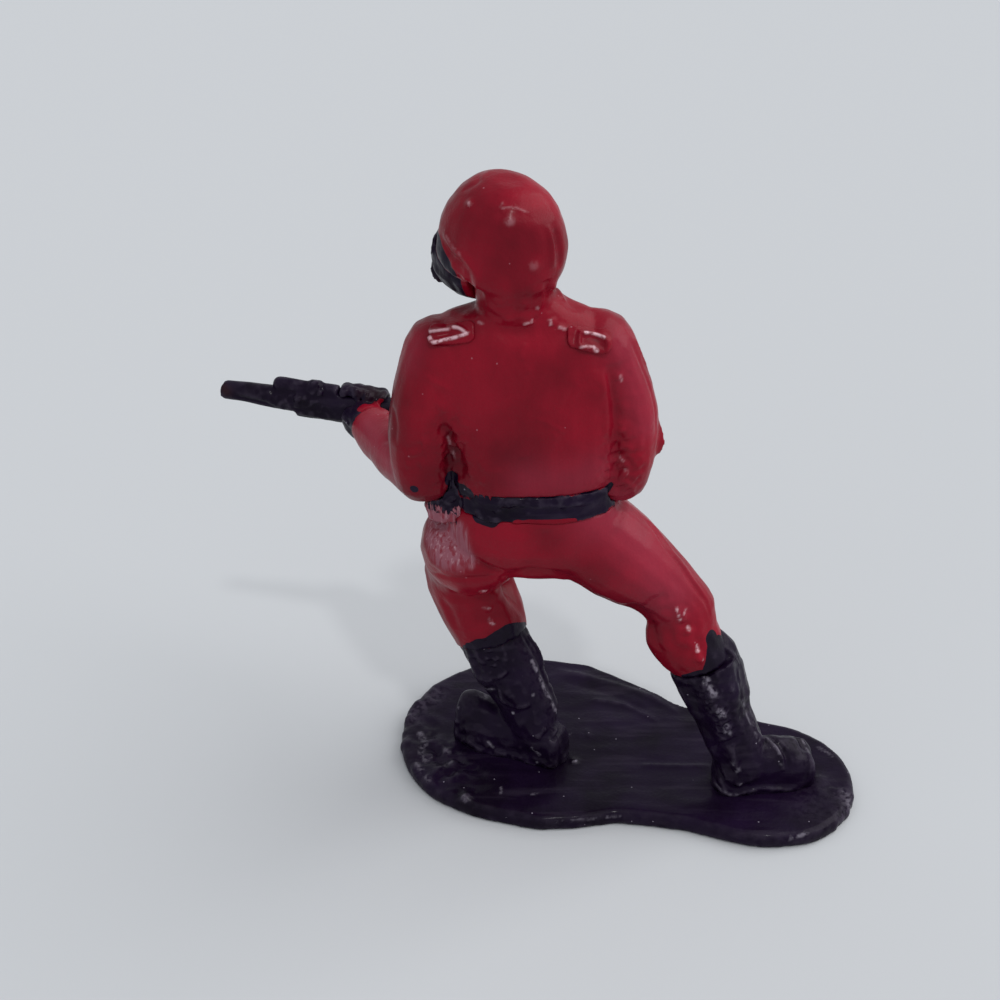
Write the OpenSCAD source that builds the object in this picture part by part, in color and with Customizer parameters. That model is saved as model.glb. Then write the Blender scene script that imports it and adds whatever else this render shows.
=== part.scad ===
// Toy soldier on a moulded stand, in a wide crouch, with a rifle held across the belly.
// Millimetres. Z is up, +Y is the way the chest faces, -X is the way the rifle points.
// The origin is the middle of the stand's underside. Left and right are the soldier's own.

/* [Stand] */
// Radius of the large lobe, under the left boot
lobe_left_r = 9.4; // [8:0.1:12]
// Radius of the small lobe, under the right boot
lobe_right_r = 6.6; // [5:0.1:8]
// Middle of the large lobe
lobe_left = [-6.9, 1.7]; // [-20:0.1:20]
// Middle of the small lobe
lobe_right = [9.8, -3.5]; // [-20:0.1:20]
// Radius of the two hollow curves that join the lobes
waist_r = 32; // [12:0.5:40]
// Thickness of the stand
stand_t = 1.2; // [0.8:0.1:3]
// Radius of its rounded top edge
stand_edge_r = 0.5; // [0.2:0.05:0.6]

/* [Pose] */
// Left hip
hip_left = [-10.6, -2.3, 20.9]; // [-60:0.1:60]
// Right hip
hip_right = [-2.7, -2.3, 21.2]; // [-60:0.1:60]
// Left knee
knee_left = [-11.7, 2.2, 15.4]; // [-60:0.1:60]
// Right knee
knee_right = [3.6, -2.3, 15.1]; // [-60:0.1:60]
// Left ankle
ankle_left = [-6.4, -0.6, 3.3]; // [-60:0.1:60]
// Right ankle
ankle_right = [8.2, -4.0, 3.2]; // [-60:0.1:60]
// Middle of the belt
waist = [-6.7, -2.4, 25.2]; // [-60:0.1:60]
// Root of the neck
neck = [-8.1, -2.0, 38.8]; // [-60:0.1:60]
// Left shoulder
shoulder_left = [-12.7, -2.3, 35.1]; // [-60:0.1:60]
// Right shoulder
shoulder_right = [-2.7, -1.9, 35.2]; // [-60:0.1:60]
// Left elbow
elbow_left = [-14.0, -2.9, 26.5]; // [-60:0.1:60]
// Right elbow
elbow_right = [-1.2, -2.4, 26.3]; // [-60:0.1:60]
// Left wrist, from the middle of its palm
wrist_left_back = [0.8, -1.4, 0.4]; // [-4:0.1:4]
// Right wrist, from the middle of its palm
wrist_right_back = [2.2, -0.9, 1.4]; // [-4:0.1:4]
// Turn of the left foot, from +X towards +Y
foot_left_turn = 153; // [100:1:220]
// Turn of the right foot
foot_right_turn = 10; // [-60:1:80]
// Turn of the face
face_turn = 143; // [90:1:180]

/* [Legs] */
// Half width of the left thigh at the hip
thigh_left_r = 3.6; // [2.5:0.1:5]
// Half width of the right thigh at the hip
thigh_right_r = 3.3; // [2.5:0.1:5]
// Half width of the left knee
knee_left_r = 2.85; // [2:0.05:4]
// Half width of the right knee
knee_right_r = 2.35; // [2:0.05:4]
// Half width of the boot shaft at its rim
shaft_r = 2.4; // [2:0.1:3.5]
// Length of the boot shaft, from the ankle up to the rim
shaft_len = 8.6; // [6:0.1:11]
// Half width of the swelling on the shin of the boot
shin_r = 1.6; // [1:0.1:2.5]
// Length of the left boot, heel to toe
boot_left_len = 8.6; // [6:0.1:12]
// Length of the right boot, heel to toe
boot_right_len = 7.4; // [6:0.1:12]
// Half width of a boot at the ball of the foot
boot_half_w = 1.75; // [1.2:0.05:2.5]
// Height of the instep
instep_h = 2.5; // [1:0.1:3]
// Thickness of the sole
sole_t = 0.5; // [0.2:0.05:1]
// How far the sole stands out round the boot
welt = 0.15; // [0.05:0.05:0.4]
// How far the left calf swells to the back
calf_left_bow = 0.3; // [0:0.05:0.8]
// How far the right calf swells to the back
calf_right_bow = 0.6; // [0:0.05:0.8]
// Half width of the trouser seat
seat_half_w = 5.9; // [4:0.1:8]
// Half depth of the trouser seat
seat_half_d = 3.5; // [2.5:0.1:5]
// Height of the trouser seat, from the middle of the belt to the crotch
seat_h = 6.2; // [4:0.1:9]

/* [Body] */
// Half width of the chest
chest_half_w = 6.1; // [4:0.1:8]
// Half depth of the chest
chest_half_d = 3.3; // [2:0.1:5]
// Half width of the sleeve at the shoulder
shoulder_r = 2.45; // [1.5:0.05:3.5]
// How far the left upper arm bows out
arm_left_bow = 0.5; // [0:0.05:1.2]
// How far the right upper arm bows out
arm_right_bow = 0.8; // [0:0.05:1.2]
// How far the left forearm bows down
forearm_bow = 0.2; // [0:0.05:1]
// Half width of the sleeve at the elbow
elbow_r = 2.05; // [1.2:0.05:3]
// Reach of the moulded nib at the right elbow
nib_reach = 0.45; // [0.2:0.05:0.8]
// Half width of a glove at its cuff
cuff_r = 1.4; // [1:0.05:2]
// How far a sleeve or a trouser leg runs on inside its glove or boot
tuck = 0.4; // [0.2:0.05:0.8]
// Height of the belt
belt_h = 2.0; // [1:0.1:3]
// Thickness of the belt
belt_t = 0.45; // [0.2:0.05:1]
// Half width of the belt round the waist
belt_half_w = 5.4; // [4:0.1:7]
// Half depth of the belt round the waist
belt_half_d = 3.4; // [2.5:0.05:5]
// Height of the collar
collar_h = 1.3; // [0.8:0.1:3]
// Thickness of the collar
collar_t = 0.5; // [0.2:0.05:1]
// Length of a shoulder strap
strap_len = 2.8; // [2:0.1:5]
// Half width of a shoulder strap
strap_half_w = 0.7; // [0.4:0.05:1.2]
// Thickness of a shoulder strap
strap_t = 0.3; // [0.2:0.05:0.8]
// How far the left and the right strap lie behind their shoulders
strap_back = [-0.2, 0.7]; // [-1:0.1:1.5]
// Lean of a shoulder strap, to the back
strap_tilt = 40; // [20:1:60]
// Half width, half depth and half height of the pouch on the left hip
pouch_half = [1.8, 1.5, 2.1]; // [1:0.1:4]

/* [Head] */
// Radius of the neck
neck_r = 2.0; // [1.5:0.05:3]
// Half width of the head
head_half_w = 2.7; // [2:0.05:4]
// Half length of the head
head_half_len = 3.2; // [2:0.05:4]
// Height of the head over the root of the neck
head_h = 6.6; // [5:0.1:9]
// How far the middle of the head lies ahead of the neck
head_ahead = 1.2; // [0:0.1:2]
// Half width of the helmet
helmet_half_w = 3.65; // [2.5:0.05:5]
// Half length of the helmet
helmet_half_len = 4.2; // [3:0.05:6]
// Height of the helmet's rim over the root of the neck
rim_z = 2.4; // [1:0.1:4]
// Height of the helmet over its rim
helmet_h = 5.8; // [4:0.1:8]
// Backward tilt of the helmet
helmet_tilt = 9; // [0:1:25]
// Height of the middle of the mask over the root of the neck
mask_z = 1.9; // [1:0.1:4]
// Half width of the mask
mask_half_w = 2.4; // [1.5:0.05:3]
// Half height of the mask
mask_half_h = 2.7; // [1.5:0.05:3.5]
// Reach of the mask ahead of the head
mask_ahead = 1.4; // [0.9:0.1:2.5]
// Radius of the mask's filter
filter_r = 0.9; // [0.5:0.05:1.2]
// Length of the mask's filter
filter_len = 0.9; // [0.5:0.05:2]
// Radius of an eyepiece
lens_r = 0.8; // [0.4:0.05:1]
// Thickness of an eyepiece
lens_t = 0.5; // [0.2:0.05:0.8]

/* [Rifle] */
// Point of the barrel's axis over the trigger
rifle_place = [-8.3, 4.0, 25.5]; // [-60:0.1:60]
// Turn of the muzzle from -X towards +Y
rifle_turn = 11; // [0:1:30]
// Rise of the muzzle
rifle_rise = 3.5; // [-10:0.5:20]
// Length of the barrel ahead of the handguard
barrel_len = 5.2; // [3:0.1:10]
// Diameter of the muzzle
muzzle_d = 1.3; // [0.8:0.05:2]
// Diameter of the barrel where it leaves the handguard
barrel_d = 1.75; // [1:0.05:2.2]
// Length of the handguard
guard_len = 11.2; // [8:0.1:13]
// Half width of the handguard
guard_half_w = 0.85; // [0.6:0.05:1.2]
// Half height of the handguard
guard_half_h = 1.05; // [0.8:0.05:1.4]
// Length of the tube over the handguard
tube_len = 4.2; // [2:0.1:8]
// How far the tube starts behind the handguard's end
tube_back = 2.9; // [1:0.1:5]
// Diameter of the tube
tube_d = 1.05; // [0.5:0.05:1.4]
// Length of the receiver
receiver_len = 7.0; // [4:0.1:10]
// Half width of the receiver
receiver_half_w = 0.7; // [0.4:0.05:1.2]
// Half height of the receiver
receiver_half_h = 1.1; // [0.6:0.05:1.6]
// Length of the magazine
magazine_len = 3.0; // [2:0.1:6]
// Width of the magazine
magazine_w = 1.6; // [1:0.1:3]
// Length of the stock
stock_len = 5.6; // [4:0.1:9]
// Height of the stock at its butt
stock_h = 2.6; // [1.5:0.1:4]
// Length of the pistol grip
grip_len = 2.6; // [1.5:0.1:4]
// Half width of a finger
finger_r = 0.48; // [0.3:0.02:0.7]
// Distance from the trigger to the middle of the left hand
hand_along = 10.4; // [8:0.1:13]

/* [Hidden] */
red = "firebrick";
black = "#2a2430";
body_sides = 22;
limb_sides = 16;
small_sides = 10;

function mix(a, b, t) = a + (b - a) * t;
function unit(v) = v / norm(v);
function square_to(v, n) = unit(v - (v * n) * n);
function heading(turn) = [cos(turn), sin(turn), 0];
function left_of(turn) = heading(turn + 90);
function ring(centre, across, deep) = [centre.x, centre.y, centre.z, across, deep];

// Smooth curve through the list p, where t runs from 0 to its last index
function curve(p, t) = let (n = len(p) - 1, i = min(floor(t), n - 1), u = t - i,
        a = p[max(i - 1, 0)], b = p[i], c = p[i + 1], d = p[min(i + 2, n)])
    (2 * b + (c - a) * u + (2 * a - 5 * b + 4 * c - d) * u * u
        + (3 * b - a - 3 * c + d) * u * u * u) / 2;

// Closed outline of one ring, wide along u and deep along v; square is 2 for an ellipse
function outline(c, u, v, across, deep, square, sides) = [for (i = [0 : sides - 1])
    let (a = 360 * i / sides, x = cos(a), y = sin(a))
    c + u * across * sign(x) * pow(abs(x), 2 / square) + v * deep * sign(y) * pow(abs(y), 2 / square)];

// Skin over a list of closed outlines that have the same number of points
module skin(outlines) {
    n = len(outlines[0]);
    last = len(outlines) - 1;
    polyhedron(points = [for (o = outlines) each o], faces = concat(
        [[for (i = [0 : n - 1]) i]],
        [for (k = [0 : last - 1]) for (i = [0 : n - 1]) let (j = (i + 1) % n)
            [k * n + i, (k + 1) * n + i, (k + 1) * n + j, k * n + j]],
        [[for (i = [n - 1 : -1 : 0]) last * n + i]]));
}

// Round body through rings of [centre, half across, half deep], with a dome at either end
module loft(rings, across, domes = [0, 0], square = 2, sides = limb_sides, steps = 2) {
    count = steps * (len(rings) - 1);
    path = [for (i = [0 : count]) curve(rings, i / steps)];
    at = [for (p = path) [p[0], p[1], p[2]]];
    lean = [for (i = [0 : count]) unit(at[min(i + 1, count)] - at[max(i - 1, 0)])];
    dome_angles = steps > 1 ? [76, 50, 25] : [66, 34];
    first = domes[0] > 0 ? [for (a = dome_angles) [0, -domes[0] * sin(a), cos(a)]] : [];
    end = domes[1] > 0 ? [for (i = [len(dome_angles) - 1 : -1 : 0]) let (a = dome_angles[i])
        [count, domes[1] * sin(a), cos(a)]] : [];
    skin([for (s = concat(first, [for (i = [0 : count]) [i, 0, 1]], end))
        let (i = s[0], t = lean[i], u = square_to(across, t))
        outline(at[i] + t * s[1], u, cross(t, u), path[i][3] * s[2], path[i][4] * s[2], square, sides)]);
}

// Rings from one joint to the next. A row of shares is [along the line, across, deep, bow],
// where the last three are shares of r and the bow is a shift along the vector out.
function limb(from, to, r, shares, out = [0, 0, 0]) =
    [for (s = shares) ring(mix(from, to, s[0]) + out * r * s[3], r * s[1], r * s[2])];

// First child less the others, in one closed mesh that has its neighbours' faces as its own
module less() {
    resize([0, 0, 0]) difference() {
        children(0);
        children([1 : $children - 1]);
    }
}

// The stand's outline is four arcs that run into each other: two lobes and two hollows.
// Places on it are given along the line between the lobes and out from that line.
axis = lobe_right - lobe_left;
axis_len = norm(axis);
axis_turn = atan2(axis.y, axis.x);
left_arm = lobe_left_r + waist_r;
right_arm = lobe_right_r + waist_r;
hollow_along = (left_arm * left_arm - right_arm * right_arm + axis_len * axis_len) / (2 * axis_len);
hollow_out = sqrt(left_arm * left_arm - hollow_along * hollow_along);
left_open = acos(hollow_along / left_arm);
right_open = acos((axis_len - hollow_along) / right_arm);
function on_axis(along, out) = lobe_left + unit(axis) * along + [-axis.y, axis.x] / axis_len * out;
function arc(c, r, from, to, n) = [for (i = [0 : n - 1]) let (a = axis_turn + mix(from, to, i / n))
    [c.x + r * cos(a), c.y + r * sin(a)]];
function stand_outline(inset) = concat(
    arc(lobe_left, lobe_left_r - inset, left_open, 360 - left_open, 30),
    arc(on_axis(hollow_along, -hollow_out), waist_r + inset, 180 - left_open, right_open, 7),
    arc(lobe_right, lobe_right_r - inset, right_open - 180, 180 - right_open, 22),
    arc(on_axis(hollow_along, hollow_out), waist_r + inset, -right_open, left_open - 180, 7));
function at_height(flat, z) = [for (p = flat) [p.x, p.y, z]];
module stand_shape() {
    foot_r = stand_edge_r / 3;
    side_z = stand_t - stand_edge_r;
    skin(concat(
        [at_height(stand_outline(foot_r), 0), at_height(stand_outline(0), foot_r)],
        [for (a = [0 : 30 : 90]) at_height(stand_outline(stand_edge_r * (1 - cos(a))),
            side_z + stand_edge_r * sin(a))]));
}
module stand() color(black) stand_shape();

// Boots. A foot row is [along, half width, height, shift to the outside] in shares, heel to toe.
foot_share = [[0.04, 0.82, 0.95, 0], [0.20, 0.90, 1.15, 0], [0.40, 0.88, 1.20, 0.02],
    [0.60, 0.98, 1.04, 0.06], [0.78, 1.02, 0.96, 0.05], [0.93, 0.88, 0.86, 0]];
ankle_share = 0.26;
function heel_place(ankle, turn, long) = [ankle.x, ankle.y, stand_t] - heading(turn) * long * ankle_share;
module foot_shape(ankle, turn, long) {
    heel = heel_place(ankle, turn, long) + [0, 0, sole_t];
    loft([for (s = foot_share) ring(heel + heading(turn) * long * s[0]
            + left_of(turn) * boot_half_w * s[3], boot_half_w * s[1], instep_h * s[2])],
        left_of(turn), domes = [0.05, 0.07] * long, square = 2.4, steps = 1);
}
shaft_share = [[-0.10, 0.66, 0.74, 0], [0.10, 0.68, 0.78, 0], [0.35, 0.74, 0.84, 0],
    [0.65, 0.90, 0.96, 0], [0.88, 0.98, 1.02, 0], [1, 0.99, 1.02, 0]];
shin_share = [[0.16, 0.50, 0.50, 0.22], [0.38, 0.72, 0.72, 0.40], [0.64, 0.95, 0.95, 0.72],
    [0.88, 1, 1, 0.86], [1.08, 0.78, 0.78, 0.86], [1.24, 0.42, 0.42, 0.80]];
function rim(knee, ankle) = ankle + unit(knee - ankle) * shaft_len;
module boot_shape(knee, ankle, turn, long) {
    top = rim(knee, ankle);
    foot_shape(ankle, turn, long);
    loft(limb(ankle, top, shaft_r, shaft_share), left_of(turn), domes = [shaft_r * 0.4, 0], steps = 1);
    loft(limb(ankle, top, shin_r, shin_share, heading(turn)), left_of(turn),
        domes = [shin_r * 0.5, shin_r * 0.5], sides = small_sides, steps = 1);
}
module sole_shape(ankle, turn, long) {
    w = boot_half_w + welt;
    translate(heel_place(ankle, turn, long)) rotate(turn) linear_extrude(sole_t) hull() {
        translate([w * 0.70, 0]) circle(w * 0.82, $fn = limb_sides);
        translate([long * 0.72, boot_half_w * 0.05]) circle(w, $fn = limb_sides);
        translate([long - w * 0.75, 0]) circle(w * 0.80, $fn = limb_sides);
    }
}
module sole(ankle, turn, long) color(black) sole_shape(ankle, turn, long);
module boot(knee, ankle, turn, long) color(black) less() {
    boot_shape(knee, ankle, turn, long);
    sole_shape(ankle, turn, long);
    stand_shape();
    mirror([0, 0, 1]) linear_extrude(2 * instep_h) polygon(stand_outline(-welt));
}
module left_boot_shape() boot_shape(knee_left, ankle_left, foot_left_turn, boot_left_len);
module right_boot_shape() boot_shape(knee_right, ankle_right, foot_right_turn, boot_right_len);

// Trousers
thigh_share = [[0, 0.98, 0.98, 0], [0.3, 0.95, 0.97, 0.02], [0.65, 0.78, 0.80, 0.08], [1, 0.68, 0.68, 0.03]];
calf_share = [[0, 0.98, 0.98, -0.1], [0.35, 1.02, 1.04, -1], [0.7, 0.98, 1, -0.7], [1, 0.90, 0.92, 0]];
module leg_shape(hip, knee, ankle, turn, hip_r, knee_r, calf_bow) {
    shin = unit(knee - ankle);
    kneecap = square_to(shin, unit(knee - hip));
    loft(limb(hip, knee, hip_r, thigh_share, kneecap), left_of(turn), domes = [hip_r * 0.5, knee_r * 0.9]);
    loft(limb(knee, rim(knee, ankle) - shin * tuck, knee_r, calf_share, heading(turn) * calf_bow / knee_r),
        left_of(turn), domes = [knee_r * 0.9, 0], steps = 1);
}
module left_leg_shape()
    leg_shape(hip_left, knee_left, ankle_left, foot_left_turn, thigh_left_r, knee_left_r, calf_left_bow);
module right_leg_shape()
    leg_shape(hip_right, knee_right, ankle_right, foot_right_turn, thigh_right_r, knee_right_r, calf_right_bow);
module left_trouser_leg() color(red) less() {
    left_leg_shape();
    left_boot_shape();
    jacket_shape();
    belt_ring();
}
module right_trouser_leg() color(red) less() {
    right_leg_shape();
    right_boot_shape();
    left_leg_shape();
    jacket_shape();
    belt_ring();
    sleeves_shape();
}
seat_share = [[0, 0.86, 0.88], [0.15, 0.93, 0.96], [0.35, 1, 1], [0.6, 0.98, 0.97], [0.82, 0.85, 0.84],
    [1, 0.58, 0.58]];
module seat_shape() {
    foot = mix(hip_left, hip_right, 0.5);
    loft([for (s = seat_share) ring([mix(waist.x, foot.x, s[0]), mix(waist.y, foot.y, s[0]),
            waist.z - seat_h * s[0]], seat_half_w * s[1], seat_half_d * s[2])],
        [-1, 0, 0], domes = [0, seat_h * 0.15], square = 2.3, sides = body_sides, steps = 1);
}
module trouser_seat() color(red) less() {
    seat_shape();
    belt_ring();
    left_leg_shape();
    right_leg_shape();
    sleeves_shape();
}

// Belt, with its buckle in front and a pouch on the left hip
module belt_outline(inset) polygon([for (p = outline([0, 0, 0], [1, 0, 0], [0, 1, 0],
    belt_half_w - inset, belt_half_d - inset, 2.3, body_sides)) [p.x, p.y]]);
module belt_solid() translate(waist - [0, 0, belt_h / 2]) linear_extrude(belt_h) belt_outline(0);
module belt_ring() translate(waist - [0, 0, belt_h / 2]) linear_extrude(belt_h) difference() {
    belt_outline(0);
    belt_outline(belt_t);
}
module belt() color(black) less() {
    belt_ring();
    sleeves_shape();
}
module buckle() color(black) translate(waist + [0, belt_half_d - belt_t / 2, 0]) rotate([-90, 0, 0])
    linear_extrude(belt_t) offset(r = belt_t) square([belt_h, belt_h - 2 * belt_t], center = true);
hip_out = max(belt_half_w, seat_half_w - tuck);
module pouch_shape() {
    c = waist + [-hip_out - pouch_half.x * 0.05, -pouch_half.y * 0.3, -belt_h * 0.1];
    loft([for (s = [-0.8, 0, 0.8]) ring(c + [0, 0, pouch_half.z * s], pouch_half.x * (1 - abs(s) * 0.15),
        pouch_half.y * (1 - abs(s) * 0.15))], [1, 0, 0], domes = [0.2, 0.2] * pouch_half.z,
        square = 2.8, sides = small_sides, steps = 1);
}
module hip_pouch() color(black) less() {
    pouch_shape();
    belt_solid();
    seat_shape();
    left_leg_shape();
    jacket_shape();
    sleeves_shape();
}

// Jacket. A row is [along, half width, half depth, shift to the right] in shares, waist to neck.
jacket_share = [[-0.03, 0.78, 0.88, 0], [0.06, 0.90, 1.02, 0], [0.17, 0.93, 1.05, 0], [0.40, 0.96, 1, 0.01],
    [0.60, 1.02, 1, 0.01], [0.75, 1.04, 0.93, 0.02], [0.84, 0.98, 0.80, 0.03], [0.91, 0.76, 0.64, 0.05],
    [0.96, 0.54, 0.56, 0.06], [1, 0.40, 0.50, 0.06]];
module jacket_shape(grown = 0) {
    loft([for (s = jacket_share) ring(mix(waist, neck, s[0]) + [chest_half_w * s[3], 0, 0],
            chest_half_w * s[1] + grown, chest_half_d * s[2] + grown)],
        [1, 0, 0], square = 2.4, sides = body_sides);
}
module jacket() color(red) less() {
    jacket_shape();
    belt_ring();
    seat_shape();
    sleeves_shape();
}
upper_share = [[0, 1, 1, 0], [0.35, 0.96, 0.98, 0.9], [0.7, 0.90, 0.94, 1], [1, 0.84, 0.86, 0]];
lower_share = [[0, 1, 1, 0], [0.4, 0.98, 0.98, 1], [0.75, 0.86, 0.86, 0.8], [1, 0.72, 0.72, 0]];
module upper_sleeve_shape(shoulder, elbow, bow, grown = 0) {
    r = shoulder_r + grown;
    loft(limb(shoulder, elbow, r, upper_share, [sign(shoulder.x - neck.x) * bow / r, 0, 0]), [1, 0, 0],
        domes = [r, elbow_r], square = 2.2);
}
module sleeve_shape(shoulder, elbow, wrist, bow, lower_bow) {
    upper_sleeve_shape(shoulder, elbow, bow);
    loft(limb(elbow, wrist, elbow_r, lower_share, [0, 0, -lower_bow / elbow_r]), [0, 0, 1],
        domes = [elbow_r, 0], steps = 1);
}
module left_sleeve_shape() sleeve_shape(shoulder_left, elbow_left, wrist_left, arm_left_bow, forearm_bow);
module right_sleeve_shape() sleeve_shape(shoulder_right, elbow_right, wrist_right, arm_right_bow, 0);
module sleeves_shape() {
    left_sleeve_shape();
    right_sleeve_shape();
}
module left_sleeve() color(red) left_sleeve_shape();
nib_share = [[0.58, 0.2], [0.67, 1], [0.76, 1], [0.85, 0.2]]; // [along the upper arm, reach of the nib]
module elbow_nib() {
    loft([for (s = nib_share) ring(mix(shoulder_right, elbow_right, s[0])
            + [elbow_r + arm_right_bow + nib_reach * (s[1] - 1.2), 0, 0], nib_reach * 1.4, nib_reach * 0.6)],
        [1, 0, 0],
        square = 1.2, sides = 8, steps = 1);
}
module right_sleeve() color(red) less() {
    union() {
        right_sleeve_shape();
        elbow_nib();
    }
    rifle_shape();
}

// Collar and shoulder straps
collar_share = [[-0.6, 0.9], [0.3, 1], [1, 1.04]];
module collar_shape() {
    loft([for (s = collar_share) ring(neck + [0, 0, s[0] * collar_h], (neck_r + collar_t) * s[1],
        (neck_r + collar_t) * s[1])], [1, 0, 0], sides = limb_sides, steps = 1);
}
module collar() color(red) less() {
    collar_shape();
    hood_shape();
    jacket_shape();
}
module strap_shape(shoulder, elbow, bow, back) {
    out = sign(shoulder.x - neck.x);
    intersection() {
        union() {
            jacket_shape(strap_t);
            upper_sleeve_shape(shoulder, elbow, bow, strap_t);
        }
        translate(shoulder - [out * strap_len * 0.25, back, 0]) rotate([strap_tilt, 0, 0])
            linear_extrude(3 * shoulder_r) offset(r = strap_t)
                square([strap_len, 2 * strap_half_w] - [2, 2] * strap_t, center = true);
    }
}
module shoulder_strap(shoulder, elbow, bow, back) color(red) less() {
    strap_shape(shoulder, elbow, bow, back);
    jacket_shape();
    sleeves_shape();
}

// Head. The hood covers the neck and the head, and runs up inside the helmet.
face = heading(face_turn);
face_left = left_of(face_turn);
head_foot = neck - [0, 0, collar_h];
head_top = neck + face * head_ahead + [0, 0, head_h];
hood_share = [[0, 0], [0.3, 0], [0.42, 0.45], [0.55, 0.95], [0.75, 1], [1, 0.7]]; // [up, spread]
module hood_shape() {
    loft([for (s = hood_share) ring(mix(head_foot, head_top, s[0]),
            mix(neck_r, head_half_w, s[1]), mix(neck_r, head_half_len, s[1]))],
        face_left, domes = [0, head_h * 0.12]);
}
module hood() color(red) less() {
    hood_shape();
    jacket_shape();
}
helmet_up = [0, 0, cos(helmet_tilt)] - face * sin(helmet_tilt);
dome_power = 2.35;
helmet_share = [0, 0.15, 0.35, 0.55, 0.72, 0.85, 0.94, 0.985];
rim_share = [[-0.16, 0.84], [-0.09, 0.95]]; // [up, spread] of the rounded rim
module helmet_shape() {
    foot = neck + face * head_ahead + [0, 0, rim_z];
    dome = [for (s = helmet_share) [s, pow(1 - pow(s, dome_power), 1 / dome_power)]];
    loft([for (s = concat(rim_share, dome))
            ring(foot + helmet_up * helmet_h * s[0], helmet_half_w * s[1], helmet_half_len * s[1])],
        face_left, sides = body_sides, steps = 1);
}
module helmet() color(red) less() {
    helmet_shape();
    hood_shape();
}
mask_share = [[0.35, 1, 0.95], [0.62, 1, 1], [0.82, 0.85, 0.86], [0.94, 0.62, 0.64]];
mask_place = neck + [0, 0, mask_z];
mask_reach = head_ahead + head_half_len + mask_ahead;
module mask_shape() {
    loft([for (s = mask_share) ring(mask_place + face * mask_reach * s[0], mask_half_w * s[1],
            mask_half_h * s[2])],
        face_left, domes = [0, mask_reach * 0.08]);
}
module face_mask() color(black) less() {
    mask_shape();
    hood_shape();
    helmet_shape();
    collar_shape();
    jacket_shape();
}
module stub(c, out, r, h) loft([for (s = [-1, 0.6, 1]) ring(c + out * h * s, r, r)], [0, 0, 1],
    sides = small_sides, steps = 1);
module eyepiece(side) color(black) less() {
    across = face_left * side;
    stub(mask_place + face * mask_reach * 0.84 + across * mask_half_w * 0.46 + [0, 0, mask_half_h * 0.24],
        unit(face + across * 0.4), lens_r, lens_t);
    mask_shape();
    helmet_shape();
}
module mask_filter() color(black) less() {
    stub(mask_place + face * mask_reach * 0.9 - [0, 0, mask_half_h * 0.5], unit(face - [0, 0, 0.5]),
        filter_r, filter_len);
    mask_shape();
}

// Rifle. It lies along its own +X with the trigger at the origin, its own +Y towards the soldier.
aim = [-cos(rifle_turn) * cos(rifle_rise), sin(rifle_turn) * cos(rifle_rise), sin(rifle_rise)];
near = [-sin(rifle_turn), -cos(rifle_turn), 0];
function on_rifle(along, side, high) = rifle_place + aim * along + near * side + cross(aim, near) * high;
module held() translate(rifle_place) rotate([0, -rifle_rise, 180 - rifle_turn]) children();
guard_from = receiver_len * 0.55;
bar_share = [[1, 0.6], [0.6, 1], [-0.6, 1], [-1, 0.6], [-1, -0.6], [-0.6, -1], [0.6, -1], [1, -0.6]];
module bar(from, long, half_w, half_h) translate([from, 0, 0]) rotate([90, 0, 90])
    linear_extrude(long) polygon([for (p = bar_share) [p.x * half_w, p.y * half_h]]);
module barrel_shape() translate([guard_from + guard_len, 0, 0]) rotate([0, 90, 0])
    cylinder(h = barrel_len, d1 = barrel_d, d2 = muzzle_d, $fn = 32);
module tube_shape() translate([guard_from + guard_len - tube_back, 0, guard_half_h]) rotate([0, 90, 0]) {
    cylinder(h = tube_len, d = tube_d, $fn = 32);
    translate([0, 0, tube_len]) sphere(d = tube_d, $fn = 32);
    translate([0, 0, tube_len * 0.3]) cylinder(h = tube_len * 0.2, d = tube_d * 1.3, $fn = 32);
}
module guard_shape() bar(guard_from, guard_len, guard_half_w, guard_half_h);
module receiver_shape() bar(guard_from - receiver_len, receiver_len, receiver_half_w, receiver_half_h);
module plate(points) rotate([90, 0, 0]) linear_extrude(receiver_half_w * 1.6, center = true) polygon(points);
module magazine_shape() plate([for (p = [[0.35, 0], [1, 0], [1.25, 1], [0.6, 1]])
    [guard_from - magazine_w + magazine_w * p.x * 0.9, -receiver_half_h - magazine_len * p.y]]);
module grip_shape() plate([for (p = [[-1, 0], [-0.2, 0], [-0.6, 1], [-1.3, 1]])
    [magazine_w * p.x, -receiver_half_h - grip_len * p.y]]);
module stock_shape() plate([for (p = [[0, 0.3], [0, -0.25], [1, -0.75], [1, 0.25]])
    [guard_from - receiver_len - stock_len * p.x, stock_h * p.y]]);
module rifle_shape() held() {
    guard_shape();
    tube_shape();
    receiver_shape();
    magazine_shape();
    grip_shape();
    stock_shape();
}
module barrel() color(black) held() barrel_shape();
module gas_tube() color(black) held() difference() {
    tube_shape();
    guard_shape();
    barrel_shape();
}
module handguard() color(black) held() guard_shape();
module receiver() color(black) held() receiver_shape();
module magazine() color(black) held() magazine_shape();
module pistol_grip() color(black) held() grip_shape();
module stock() color(black) held() stock_shape();

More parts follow.
